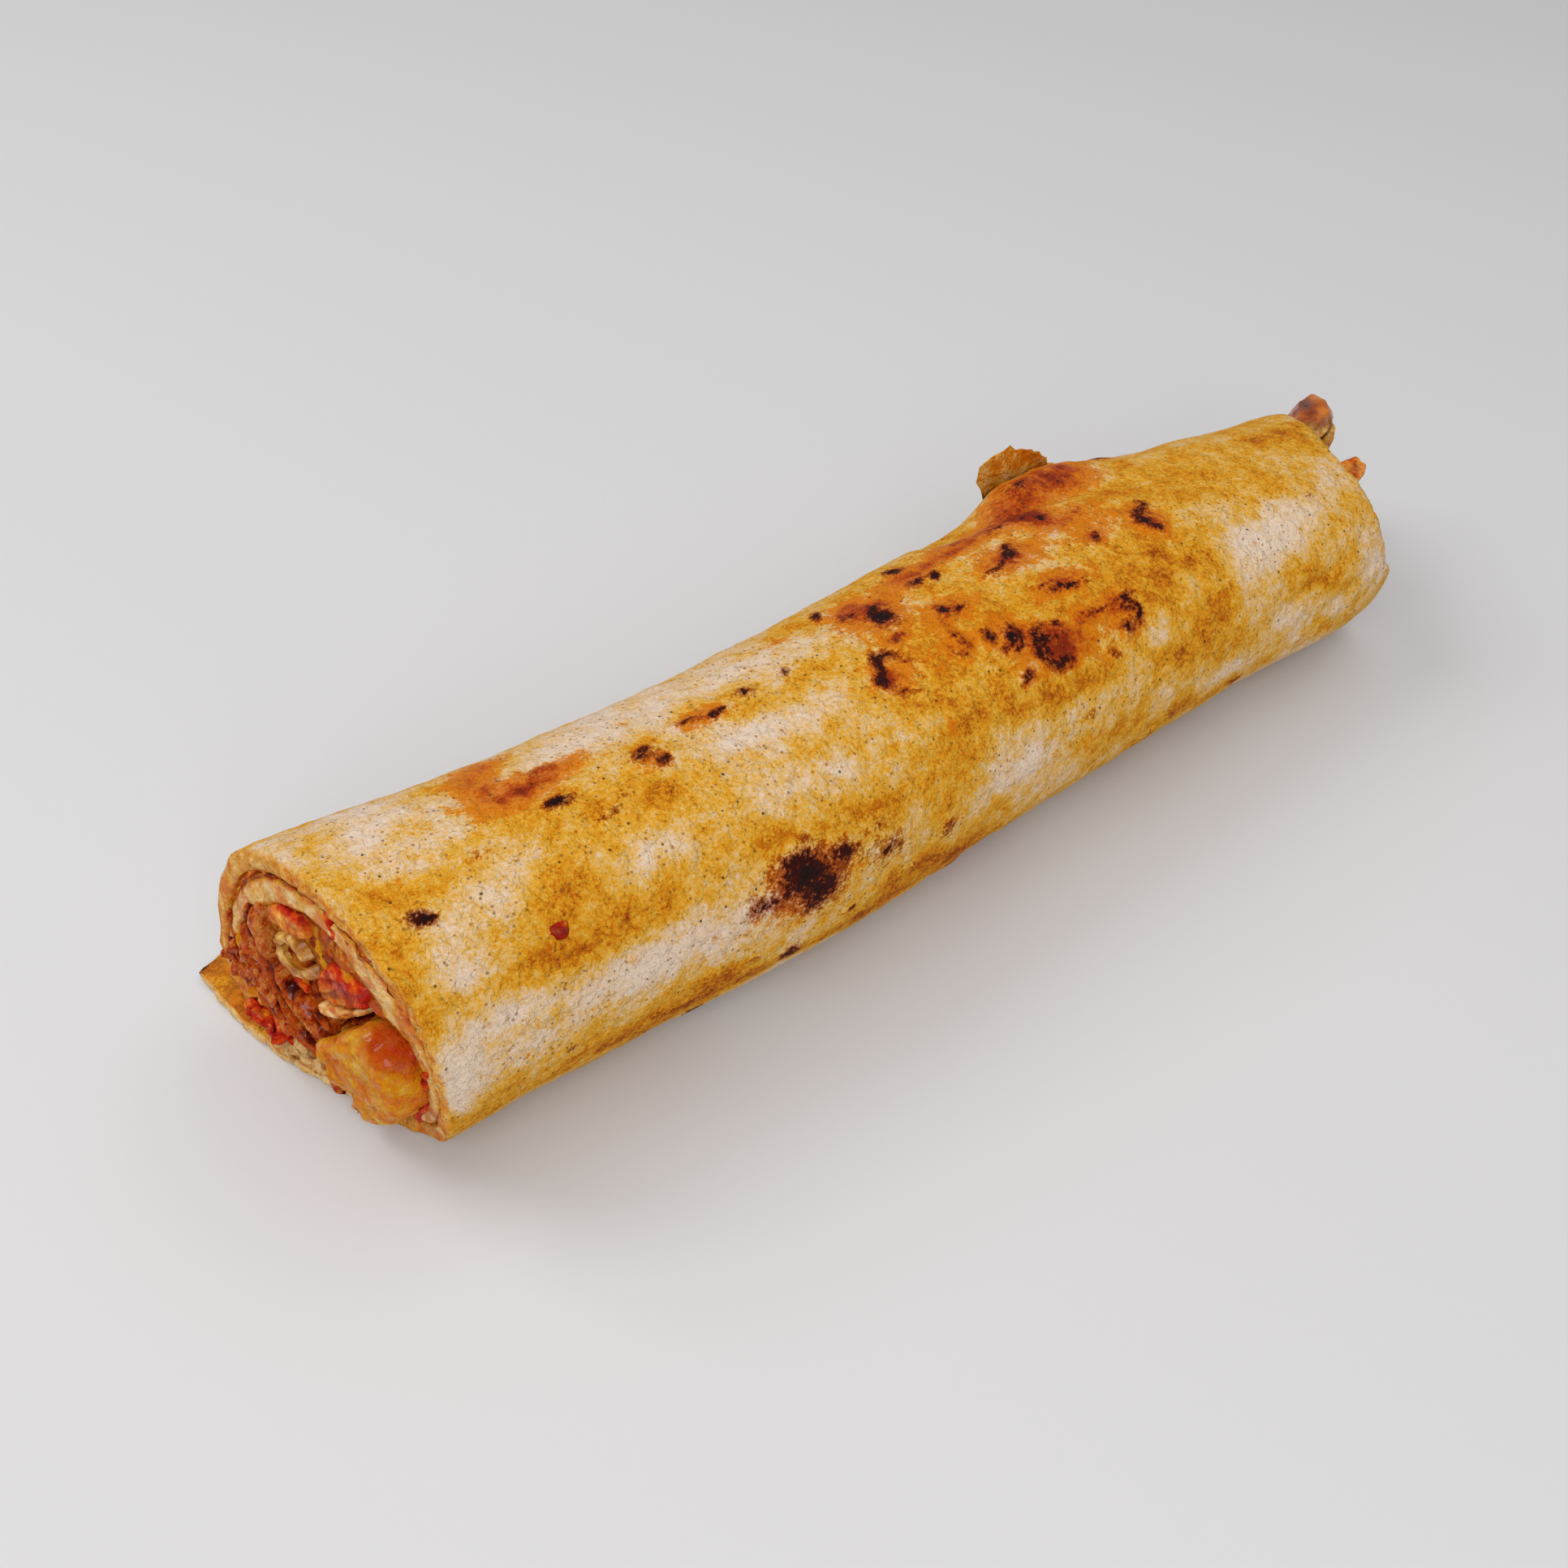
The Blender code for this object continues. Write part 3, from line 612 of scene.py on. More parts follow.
# %% Relief of the bread
DENTS, BLISTER = ((1.5, 0.045), (0.32, 0.026)), 0.035
CREASES = (
    # along and angle at both ends, half width, depth
    (-7.6, 113, -4.4, 104, 0.1, 0.05), (-12.6, 130, -10.9, 139, 0.12, 0.04),
    (-13.2, 118, -11.6, 124, 0.1, 0.04), (5.6, 172, 8.9, 150, 0.22, 0.09),
    (6.8, 186, 9.4, 165, 0.2, 0.06), (-4.6, 150, -2.2, 141, 0.12, 0.04), (8.3, 118, 9.6, 140, 0.15, 0.04),
    (2.6, 66, 6.4, 88, 0.2, 0.07), (1.4, 60, 4.6, 72, 0.18, 0.06),
)


def off_line(line, here):
    """How far a place is from a line, and at what share along the line it is nearest."""
    line, here = Vector(line), Vector(here)
    share = min(max(here.dot(line) / line.length_squared, 0), 1)
    return (here - line * share).length, share


def crease_depth(x, angle):
    """How deep the creases are at a place, deepest in the middle of each."""
    total = 0.0
    for x0, angle0, x1, angle1, width, depth in CREASES:
        line = (x1 - x0, (angle1 - angle0) * DEGREE_CM)
        far, share = off_line(line, (x - x0, (angle - angle0) * DEGREE_CM))
        total += depth * math.exp(-(far / width) ** 2) * math.sin(math.pi * min(max(share, 0.12), 0.88))
    return total


def bread_height(x, angle, spot, char):
    """The relief: dents and pockets, and blisters that rise at the rim and sink where they are black."""
    return layered(spot, DENTS) + BLISTER * math.sin(min(char, 1.0) * 2.6) - crease_depth(x, angle)


print("deepest crease: %.2f cm" % max(c[5] for c in CREASES))

# %% [markdown]
# Now the grid is made, rolled and given its masks. A mask is a number kept on every point, which the
# finish reads later. All of it happens in one walk over the points. A second walk pushes the points out
# by the relief, once the normals of the rolled sheet are known. The foot stays flat.

# %% Roll the sheet
MASKS = ("toast", "char", "outline", "amber", "inside", "cut")
INNER_TOAST, INNER_RELIEF, EDGE_SHARE = 0.2, 0.3, 9
CLEAN_LIFT, CLEAN_X = 0.22, 4.6
FOOT_HEIGHT, FOOT_OVER = 0.15, 0.5
bm = bmesh.new()
bmesh.ops.create_grid(bm, x_segments=len(column_turn) - 1, y_segments=len(row_x) - 1, size=0.5)
masks = {name: bm.verts.layers.float.new(name) for name in MASKS}
seen = {}
for vert in bm.verts:
    column = round((vert.co.x + 0.5) * (len(column_turn) - 1))
    row = round((vert.co.y + 0.5) * (len(row_x) - 1))
    spot, angle, lift = on_sheet(row_x[row], column_turn[column])
    vert.co = spot
    outer = column_turn[column] < UNDER_TURN
    vert[masks["inside"]] = 0.0 if outer else 1.0
    vert[masks["char"]] = blisters(spot.x, angle, spot) if outer else 0.0
    vert[masks["outline"]] = outlines(spot.x, angle, spot) if outer else 0.0
    vert[masks["toast"]] = toast_and_foot_shade(spot.x, angle, spot) if outer else INNER_TOAST
    vert[masks["amber"]] = fields((*AMBER, *unseen_amber), spot.x, angle) if outer else 0.0
    vert[masks["amber"]] *= 1 - ease((lift - CLEAN_LIFT) / 0.2) * ease((CLEAN_X - spot.x) / 0.8)
    inward = min(max((1 + column_turn[column]) * EDGE_SHARE, 0), 1) if column_turn[column] < 0 else 1.0
    seen[vert] = (angle, outer, lift, inward, column_turn[column])
top = max(bm.verts, key=lambda v: v.co.z)
bm.normal_update()
if top.normal.z < 0:
    bmesh.ops.reverse_faces(bm, faces=bm.faces)
    bm.normal_update()
normals = {v: v.normal.copy() for v in bm.verts}
for vert in bm.verts:
    angle, outer = seen[vert][:2]
    height = bread_height(vert.co.x, angle, vert.co, vert[masks["char"]]) * (1 if outer else INNER_RELIEF)
    vert.co += normals[vert] * height * ease((vert.co.z - FOOT_HEIGHT) / FOOT_OVER)
sheet_points = len(bm.verts)
print("sheet points:", sheet_points)


# %% [markdown]
# ## Pieces
# Every finished shape becomes an object at the origin, with its place in its mesh, and rides on the
# wrap's one body. The sums are in centimetres, so the mesh is scaled and moved as it is made.

# %% A mesh becomes a piece
def piece(name, bm, finish, smooth=180):
    """Turns a bmesh in centimetres into an object in metres."""
    bmesh.ops.transform(bm, verts=bm.verts, matrix=Matrix.LocRotScale(SHIFT, None, (CM, CM, CM)))
    mesh = bpy.data.meshes.new(name)
    bm.to_mesh(mesh)
    bm.free()
    mesh.shade_smooth()
    mesh.set_sharp_from_angle(angle=math.radians(smooth))
    if finish:
        mesh.materials.append(finish)
    made = bpy.data.objects.new(name, mesh)
    bpy.context.scene.collection.objects.link(made)
    return made


def evaluated(made):
    """The mesh with its modifiers applied, as a bmesh in centimetres, and the old object removed."""
    bpy.context.view_layer.update()
    mesh = bpy.data.meshes.new_from_object(made.evaluated_get(bpy.context.evaluated_depsgraph_get()))
    bpy.data.objects.remove(made, do_unlink=True)
    bm = bmesh.new()
    bm.from_mesh(mesh)
    bmesh.ops.translate(bm, verts=bm.verts, vec=-SHIFT)
    bmesh.ops.scale(bm, verts=bm.verts, vec=(1 / CM, 1 / CM, 1 / CM))
    return bm


# %% [markdown]
# Solidify gives the sheet its thickness on both sides. It is applied here, and not left live, because
# more is done to it afterwards. The lap grows thin towards its torn edge and lies snugly on the roll. The
# inner side gets marks of its own where it shows: the peeled corner is bare bread with a burnt tip, and
# the torn flake stands up golden, painted a little paler where it stands as light shining through the
# thin bread. Last, the bread swells inwards at the cut, and the cut face is pushed out and roughened,
# because cut bread is soft.

# %% Thickness and cut edge
EDGE_THIN, FLAKE_THIN, SNUG, DAPPLE = 0.6, 0.25, 0.03, 0.42
CORNER_X, CORNER_LENGTH, TIP_X, TIP_Y, TIP_SOFT, TIP_CHAR = -13.4, 1.6, -14.25, 2.7, 0.3, 1.2
SWELL_TURN = (
    -1.0, 0.0, 90.0, 150.0, 215.0, 260.0, 365.0, 450.0, 472.0, 490.0, 506.0, 530.0, 560.0, 585.0,
    620.0, 660.0,
)
SWELL = (0.0, 0.05, 0.06, 0.08, 0.12, 0.1, 0.04, 0.1, 0.34, 0.46, 0.34, 0.1, 0.16, 0.2, 0.12, 0.05)
SWELL_LENGTH, SWELL_OUT = 0.55, 0.25
RIM_CUTS, RIM_BULGE, RIM_CRUMB, CRUMBS = 4, 0.04, 0.05, ((0.2, 1), (0.09, 0.6), (0.05, 0.4))
FLAKE_TOAST, FOOT_TOAST, OUTER_TOAST, CORE_TOAST = 0.55, 0.0, 0.34, 0.14

lifted = [seen[v][2] for v in bm.verts]
inward = [seen[v][3] for v in bm.verts]
swollen = [curve_through(SWELL_TURN, SWELL, seen[v][4]) for v in bm.verts]
lapped = [1.0 if seen[v][4] < 0 else 0.0 for v in bm.verts]
sheet = piece("sheet", bm, None)
thicken = sheet.modifiers.new("thickness", "SOLIDIFY")
thicken.thickness = BREAD_THICK * CM
thicken.offset = 0
bm = evaluated(sheet)
bm.verts.ensure_lookup_table()
masks = {name: bm.verts.layers.float[name] for name in MASKS}
highest = max(bm.verts[:sheet_points], key=lambda v: v.co.z).index
inner_side = 0 if bm.verts[highest].co.z < bm.verts[highest + sheet_points].co.z else 1
for vert in bm.verts[:sheet_points]:
    i = vert.index
    lift, edge = lifted[i], 1 - ease(inward[i])
    pair = (vert, bm.verts[i + sheet_points])
    inner = pair[inner_side]
    bare = lapped[i] * (1 - ease((vert.co.x - CORNER_X) / CORNER_LENGTH))
    tip = ease((vert.co.y - TIP_Y) / TIP_SOFT) * ease((TIP_X - vert.co.x) / TIP_SOFT)
    tip *= 1 - ease(inward[i] * 3)
    dapple, standing = noise.noise(vert.co / DAPPLE), ease(lift / 0.2)
    golden = standing * (0.25 + 0.3 * ease((vert.co.x - 4.0) / 0.9))
    inner[masks["outline"]] = 0.0
    inner[masks["char"]] = TIP_CHAR * bare * tip
    inner[masks["inside"]] = (1.0 - 0.85 * bare) * (1 - ease(lift / 0.12))
    # Where the flake stands, its inner face is painted paler: a painted glow of light shining through the
    # thin bread.
    inner[masks["toast"]] = 0.5 + ((0.4 + 0.45 * dapple) * bare - 0.06 * standing)
    inner[masks["amber"]] = bare * (0.2 + 0.5 * ease(dapple * 3)) + golden
    thinned = EDGE_THIN + FLAKE_THIN * ease(lift / 0.3)
    half = (pair[0].co - pair[1].co) * 0.5 * thinned * edge
    pair[0].co -= half
    pair[1].co += half
    snug = lapped[i] * (1 - bare) * (1 - ease(lift / 0.1)) * edge
    outward = pair[1 - inner_side].co - inner.co
    for side in pair:
        side.co -= outward.normalized() * snug * (half.length + SNUG)
    near = ends(vert.co.y, vert.co.z)[0]
    swell = swollen[i] * (1 - ease((vert.co.x - near) / SWELL_LENGTH))
    outward = pair[0].co + pair[1].co - inner.co * 2
    inner.co -= outward.normalized() * swell
    inner.co.x -= swell * SWELL_OUT
across = [e for e in bm.edges if abs(e.verts[0].index - e.verts[1].index) == sheet_points]
made = bmesh.ops.subdivide_edges(bm, edges=across, cuts=RIM_CUTS, use_grid_fill=True)
rim = [v for v in made["geom_inner"] if isinstance(v, bmesh.types.BMVert)]
bm.normal_update()
rim_normals = [v.normal.copy() for v in rim]
for vert, normal in zip(rim, rim_normals):
    vert.co += normal * (RIM_BULGE + RIM_CRUMB * layered(vert.co, CRUMBS))
    x, y, z = vert.co
    at_flake = y > 0.5 and z > 3.0 and 2.8 < x < 6.0
    at_foot = x < -13.0 and z < 0.45 and y > -1.6
    at_tip = x < TIP_X and y > TIP_Y + 0.15
    elsewhere = OUTER_TOAST if vert[masks["inside"]] < 0.9 else CORE_TOAST
    vert[masks["cut"]] = 0.0 if at_flake or at_tip else 1.0
    vert[masks["char"]] = 1.0 if at_tip else 0.0
    vert[masks["toast"]] = FLAKE_TOAST if at_flake else FOOT_TOAST if at_foot else elsewhere
print("edge points:", len(rim), "faces:", len(bm.faces))

# %% [markdown]
# ## The bread's finish
# Toasted flatbread is floury white where it didn't touch the griddle, straw to golden where it did,
# amber where fat ran, and black in the blisters. The masks say where, two noises break their edges,
# and a colour ramp turns how toasted a place is into its colour. Tiny cells give the scattered specks.

# %% Bread
bread = Finish("bread", Specular_IOR_Level=0.1, Coat_Roughness=0.3)
toast, amber = bread.mask("toast"), bread.mask("amber")
patch = bread.grain(6.5, 5, rough=0.6) - 0.5
mottle = bread.grain(2.6, 4, rough=0.6) - 0.5
stipple = bread.grain(0.7, 4, rough=0.75) - 0.5
wrinkles = 1.0 - bread.grain(5.0, 3, rough=0.55).apart(0.5).step(0.0, 0.022)
level = (toast - 0.44) * 1.2 + 0.43 + patch * 0.7 + mottle * 0.7 + stipple * 1.1 + wrinkles * 0.05
floury = bread.ramp(level, (
    (0.0, tone(232, 208, 184)), (0.2, tone(230, 196, 158)), (0.36, tone(228, 182, 108)),
    (0.52, tone(226, 166, 48)), (0.7, tone(216, 142, 18)), (0.86, tone(188, 100, 8)),
    (1.0, tone(140, 60, 6))))
fat = amber * 1.12 - 0.12 + patch * 0.5 + mottle * 1.3 + stipple * 1.0
greasy = bread.mix(fat.step(0.08, 0.4) * 0.9, floury, tone(216, 120, 2))
browned = bread.mix(fat.step(0.5, 0.95) * 0.85, greasy, tone(182, 62, 0))
seared = bread.mix(fat.step(0.85, 1.2) * 0.85, browned, tone(120, 26, 0))
print("bread colours ready")

# %% [markdown]
# Blisters burn from the middle outwards. The mask falls off evenly from the middle, so the finish can
# set crisp borders at any strength: red brown at the edge, then dark, then black, all broken by noise.

# %% Blisters and specks
char, outline = bread.mask("char"), bread.mask("outline")
flicker = mottle * 0.9 + stipple * 1.3
burn = char.most(outline * 0.9) + flicker
scorched = bread.mix(burn.step(0.22, 0.5) * 0.75, seared, tone(146, 42, 2))
dark = bread.mix(burn.step(0.5, 0.68), scorched, tone(84, 20, 6))
burnt = bread.mix(burn.step(0.74, 0.95), dark, tone(26, 10, 10))


def specks(size, radius, kept):
    """Small dark dots in some of the cells."""
    near = (radius - bread.cells(size)).step(0.0, radius * 0.4)
    return near * (bread.cells(size, 1) - (1 - kept)).step(0.0, 0.06)


dotted = bread.mix(specks(1.3, 0.26, 0.5) * 0.7, burnt, tone(140, 88, 40))
specked = bread.mix(specks(2.9, 0.115, 0.5) * 0.85, dotted, tone(52, 30, 18))
print("blisters ready")

# %% [markdown]
# The inner side is soaked with juice, and the cut edge shows pale crumb. The relief has three sizes:
# flour grains, the pits of the bake, and the blisters' crusts.

# %% Inner side, cut edge and relief
inside, cut = bread.mask("inside"), bread.mask("cut")
moist = bread.ramp(bread.grain(3.2, 3) + stipple * 0.3, (
    (0.34, tone(232, 178, 62)), (0.5, tone(222, 138, 18)), (0.62, tone(196, 80, 4)),
    (0.76, tone(156, 38, 2))))
soaked = bread.mix(inside, specked, moist)
cream = bread.ramp(mottle * 1.4 + stipple * 0.9 + 0.8 - toast, (
    (0.2, tone(200, 104, 6)), (0.4, tone(220, 144, 32)), (0.6, tone(232, 174, 84)),
    (0.82, tone(238, 202, 140))))
stain = bread.grain(5.5, 4, rough=0.6)
crumb = bread.mix(stain.step(0.48, 0.6) * toast.step(0.0, 0.16) * 0.75, cream, tone(210, 100, 0))
bread.set("Base Color", bread.mix(cut, soaked, crumb))
bread.set("Roughness", 0.8 - fat.step(0.1, 0.8) * 0.3 - inside * 0.25)
bread.set("Coat Weight", inside * 0.3)
grains = bread.bump(bread.grain(0.8, 4, rough=0.75), 0.6)
pits = bread.bump(bread.grain(2.4, 3) - burn.step(0.6, 0.9) * 0.25 - wrinkles * 0.05, 1.5, grains)
bread.set("Normal", pits)

flatbread = piece("wrap_bread", bm, bread.material)
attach(flatbread, "root")
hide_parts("flatbread")
print("bread:", len(flatbread.data.polygons), "faces")

# %% [markdown]
# ## The fillings
# Each filling is a solid that runs through the wrap, but only its two ends show. So a merged copy of
# the solid is parted: both ends are remeshed finely and get crags, and the hidden middle stays plain.
# Remeshing the whole would cost a million faces that nobody sees.

# %% Part a solid and remesh its ends
END_LENGTH, FAR_MORE, FINE, SMOOTHING = 1.5, 0.6, 0.045, 4
CRAG_LUMPS = ((0.4, 1), (0.16, 0.5))


def merged(node):
    """A copy of a solid in centimetres, with its loose triangles joined."""
    bm = bmesh.new()
    bm.from_mesh(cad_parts[node].data)
    bmesh.ops.remove_doubles(bm, verts=bm.verts, dist=0.00001)
    bmesh.ops.translate(bm, verts=bm.verts, vec=-SHIFT)
    bmesh.ops.scale(bm, verts=bm.verts, vec=(1 / CM, 1 / CM, 1 / CM))
    return bm


def slice_of(node, low, high):
    """The stretch of a solid between two places along the wrap, closed at both cuts."""
    bm = merged(node)
    for place, way in ((low, -1), (high, 1)):
        everything = [*bm.verts, *bm.edges, *bm.faces]
        bmesh.ops.bisect_plane(
            bm, geom=everything, plane_co=(place, 0, 0), plane_no=(way, 0, 0), clear_outer=True)
        bmesh.ops.holes_fill(bm, edges=[e for e in bm.edges if e.is_boundary], sides=0)
    bmesh.ops.recalc_face_normals(bm, faces=bm.faces)
    return bm


def remeshed(bm, size):
    """The same shape in small even faces."""
    rough = piece("rough", bm, None)
    fine = rough.modifiers.new("fine", "REMESH")
    fine.mode = "VOXEL"
    fine.voxel_size = size * CM
    return evaluated(rough)


def crags(spot, grain, fibre, crag):
    """Height of torn food: lumps, and ridges with sharp furrows drawn out along its fibres."""
    turn = math.radians(grain)
    bend = spot + 0.12 * noise.noise_vector(spot / 0.5)
    along = bend.y * math.cos(turn) + bend.z * math.sin(turn)
    across = bend.z * math.cos(turn) - bend.y * math.sin(turn)
    strand = 1 - 3.2 * abs(noise.noise(Vector((bend.x / 0.9, along / 0.8, across / 0.17))))
    fine = noise.noise(Vector((bend.x / 0.3, along / 0.3, across / 0.07)))
    return crag * layered(spot, CRAG_LUMPS) + fibre * (strand + 0.4 * fine)


def filling(name, node, finish, grain, fibre, crag, out, fine=FINE, smoothing=SMOOTHING):
    """A new piece that stands for the solid, with fine ends, and its near end drawn out a little."""
    solid = merged(node)
    low, high = min(v.co.x for v in solid.verts), max(v.co.x for v in solid.verts)
    solid.free()
    near_in, far_in = low + END_LENGTH, high - END_LENGTH - FAR_MORE
    whole = bmesh.new()
    stretches = ((low - 1, near_in, True), (near_in, far_in, False), (far_in, high + 1, True))
    for start, end, shape in stretches:
        part = slice_of(node, start, end)
        if shape:
            part = remeshed(part, fine)
            for _ in range(smoothing):
                bmesh.ops.smooth_vert(
                    part, verts=part.verts, factor=0.5, use_axis_x=True, use_axis_y=True, use_axis_z=True)
            part.normal_update()
            # The height mask lets the finishes paint the furrows darker, as shade.
            height = part.verts.layers.float.new("height")
            moves = [(v, v.normal.copy(), crags(v.co, grain, fibre, crag)) for v in part.verts]
            for vert, normal, rise in moves:
                vert[height] = 0.5 + 0.5 * rise / (fibre + crag)
                vert.co += normal * rise
                vert.co.x -= out * ease((near_in - vert.co.x - END_LENGTH * 0.6) / 0.3)
        else:
            part.verts.layers.float.new("height")
        mesh = bpy.data.meshes.new("part")
        part.to_mesh(mesh)
        part.free()
        whole.from_mesh(mesh)
    made = piece(name, whole, finish.material)
    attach(made, "root")
    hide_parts(node)
    print(name, len(made.data.polygons), "faces")
    return made


def mark(made, name, strength):
    """Keeps a number on every vertex, worked out from its place in centimetres."""
    layer = made.data.attributes.new(name, "FLOAT", "POINT")
    for vert in made.data.vertices:
        layer.data[vert.index].value = strength((vert.co - SHIFT) / CM)


print("fillings' tools ready, ends remeshed to %.2f mm" % (FINE * 10))

# %% [markdown]
# ## Wet finishes
# What is inside is moist: a coat gives the wet shine, and the colour under it is uneven. It is darker in
# the hollows, partly juice lying there and partly painted shade. Every finish below is one ramp of noise
# with a second noise laid over.

# %% Chicken, meat and tomato
def juice_and_furrow_shade(finish, furrow, low=0.25, high=0.6):
    """Juice in the furrows with painted shade: a darker colour low down, in patches."""
    low_down = 1.0 - finish.mask("height").step(low, high)
    return low_down * (0.35 + finish.grain(2.6, 2).step(0.4, 0.6) * 0.65) * furrow


def shine(finish, most):
    """A wet coat in small patches, so that the highlights are broken."""
    return finish.grain(1.6, 3).step(0.52, 0.6) * most


def surface(finish, gloss, grit, depth, coat=None):
    """Uneven gloss (size, spread, least), relief from a grain (size, detail, roughness), and a coat."""
    size, spread, least = gloss
    finish.set("Roughness", finish.grain(size, 2) * spread + least)
    size, detail, rough = grit
    finish.set("Normal", finish.bump(finish.grain(size, detail, rough=rough), depth))
    if coat:
        finish.set("Coat Weight", shine(finish, coat))


chicken = Finish("chicken", Coat_Roughness=0.15, Specular_IOR_Level=0.12)
lumps = chicken.grain(4.2, 4, rough=0.6) + (chicken.grain(0.8, 3) - 0.5) * 0.5
crust = chicken.ramp(lumps, (
    (0.28, tone(255, 206, 70)), (0.43, tone(255, 172, 16)), (0.58, tone(248, 136, 0)),
    (0.78, tone(222, 86, 0))))
zone = chicken.mask("zone")
spiced = chicken.mix(zone.step(0.2, 1.0) * 0.9, crust, tone(208, 30, 0))
pale = chicken.mix((0.0 - zone).step(0.3, 0.9) * 0.7, spiced, tone(232, 182, 66))
chicken.set("Base Color", chicken.mix(juice_and_furrow_shade(chicken, 0.35), pale, tone(206, 80, 0)))
surface(chicken, gloss=(1.5, 0.5, 0.3), grit=(1.0, 5, 0.75), depth=1.5, coat=0.5)


def meat_finish(name, dark, middle, light, palest):
    """Sliced meat: strands from dark to pale, painted darker in the furrows as shade, with patches of
    orange juice.
    """
    meat = Finish(name, Coat_Roughness=0.15, Specular_IOR_Level=0.12)
    strands = meat.grain(1.5, 4, (1.0, 0.8, 1.4), 0.75)
    # The height mask paints the furrows darker: painted shade.
    flesh = meat.ramp(strands + (meat.mask("height") - 0.5) * 0.35, (
        (0.3, dark), (0.42, middle), (0.53, light), (0.68, palest)))
    juice = meat.grain(3.6, 4, rough=0.6).step(0.47, 0.57)
    juicy = meat.mix(juice * 0.8, flesh, tone(208, 78, 0))
    meat.set("Base Color", meat.mix(juice_and_furrow_shade(meat, 1.0), juicy, tone(78, 6, 0)))
    meat.set("Roughness", strands * 0.4 + 0.3)
    meat.set("Coat Weight", shine(meat, 0.5))
    meat.set("Normal", meat.bump(meat.grain(0.7, 4, rough=0.7), 1.4))
    return meat


meat = meat_finish(
    "meat", tone(92, 8, 0), tone(160, 38, 2), tone(206, 84, 8), tone(232, 146, 66))
glazed = meat_finish(
    "glazed strip", tone(160, 30, 0), tone(214, 80, 2), tone(232, 126, 16), tone(242, 168, 66))

tomato = Finish("tomato", Coat_Roughness=0.1, Specular_IOR_Level=0.12)
pulp = tomato.grain(2.4, 4, rough=0.65)
flesh = tomato.ramp(pulp, (
    (0.32, tone(234, 136, 20)), (0.41, tone(214, 70, 0)), (0.52, tone(184, 26, 0)),
    (0.66, tone(126, 6, 0))))
orange = tomato.ramp(pulp, (
    (0.34, tone(248, 190, 90)), (0.48, tone(232, 138, 20)), (0.62, tone(204, 78, 4))))
parted = tomato.mix(tomato.mask("zone") * 0.85, flesh, orange)
tomato.set("Base Color", tomato.mix(juice_and_furrow_shade(tomato, 0.8), parted, tone(120, 14, 2)))
surface(tomato, gloss=(1.4, 0.4, 0.25), grit=(1.1, 4, 0.65), depth=1.0, coat=0.35)
print("chicken, meat and tomato ready")

# %% [markdown]
# Onion, pepper and sauce are made the same way with their own colours. A mask on the pepper's far tip
# mixes in its dark outside, and the same mask darkens the scrap in the pepper's hollow as painted shade.
# The sauce and the soft crumb are painted darker low down, as shade in their hollows. The soft crumb is
# bread that has fallen among the scraps, so it stays dry.

# %% Onion, pepper and sauce
onion = Finish("onion", Coat_Weight=0.2, Coat_Roughness=0.15, Specular_IOR_Level=0.15)
onion.set("Base Color", onion.ramp(onion.grain(2.2, 3), (
    (0.38, tone(196, 92, 16)), (0.5, tone(216, 148, 64)), (0.64, tone(232, 192, 132)))))
surface(onion, gloss=(1.2, 0.3, 0.25), grit=(0.9, 3, 0.5), depth=0.3)

pepper = Finish("pepper", Coat_Weight=0.45, Coat_Roughness=0.12, Specular_IOR_Level=0.12)
skin = pepper.grain(4.5, 2).step(0.45, 0.6)
flesh = pepper.ramp(pepper.grain(2.0, 3), (
    (0.32, tone(142, 80, 12)), (0.48, tone(188, 126, 38)), (0.64, tone(220, 176, 92))))
stained = pepper.mix(skin * 0.5, flesh, tone(150, 76, 14))
# On the far tip this mask is the dark skin; on the scrap in the hollow it is painted shade.
skin_and_hollow_shade = pepper.mask("zone")
outside = pepper.ramp(pepper.grain(6.0, 2) + skin_and_hollow_shade * 0.3 - 0.3, (
    (0.3, tone(70, 20, 2)), (0.44, tone(146, 62, 4)), (0.62, tone(196, 108, 12))))
pepper.set("Base Color", pepper.mix(skin_and_hollow_shade, stained, outside))
surface(pepper, gloss=(1.2, 0.4, 0.15), grit=(1.0, 3, 0.5), depth=0.4)

sauce = Finish("sauce", Coat_Roughness=0.1, Specular_IOR_Level=0.12)
# Low places, and the gaps between the pieces, are painted darker through the height mask: painted shade.
sauce.set("Base Color", sauce.ramp(sauce.grain(2.4, 4, rough=0.6) + (sauce.mask("height") - 0.5) * 0.3, (
    (0.32, tone(84, 12, 0)), (0.42, tone(158, 40, 0)), (0.52, tone(206, 88, 2)),
    (0.66, tone(234, 156, 40)))))
surface(sauce, gloss=(1.5, 0.4, 0.15), grit=(1.2, 4, 0.5), depth=0.8, coat=0.5)

soft = Finish("soft crumb", Roughness=0.7, Specular_IOR_Level=0.15)
# Low places are painted darker through the height mask: painted shade.
soft.set("Base Color", soft.ramp(soft.grain(2.0, 4, rough=0.65) + (soft.mask("height") - 0.5) * 0.3, (
    (0.3, tone(140, 64, 10)), (0.42, tone(196, 134, 58)), (0.58, tone(222, 182, 120)))))
soft.set("Normal", soft.bump(soft.grain(0.8, 4, rough=0.7), 0.8))
print("wet finishes ready")

# %% [markdown]
# Chicken has short lumps, and sliced meat has long strands that follow the slice, so each piece gets
# its own direction of grain, in degrees from the back towards the top.

# %% The fillings' pieces
def chunk_zone(v):
    """1 where the chunk is spiced red, at its upper right, and -1 at its pale drooping tail."""
    return ease((v.z - 2.35 - 0.5 * (v.y + 2.8)) / 0.95) - ease((0.85 - v.z) / 0.6)


def slice_zone(v):
    """1 on the slice's orange flesh, below its red rim."""
    return ease((4.08 - v.z) / 0.12)


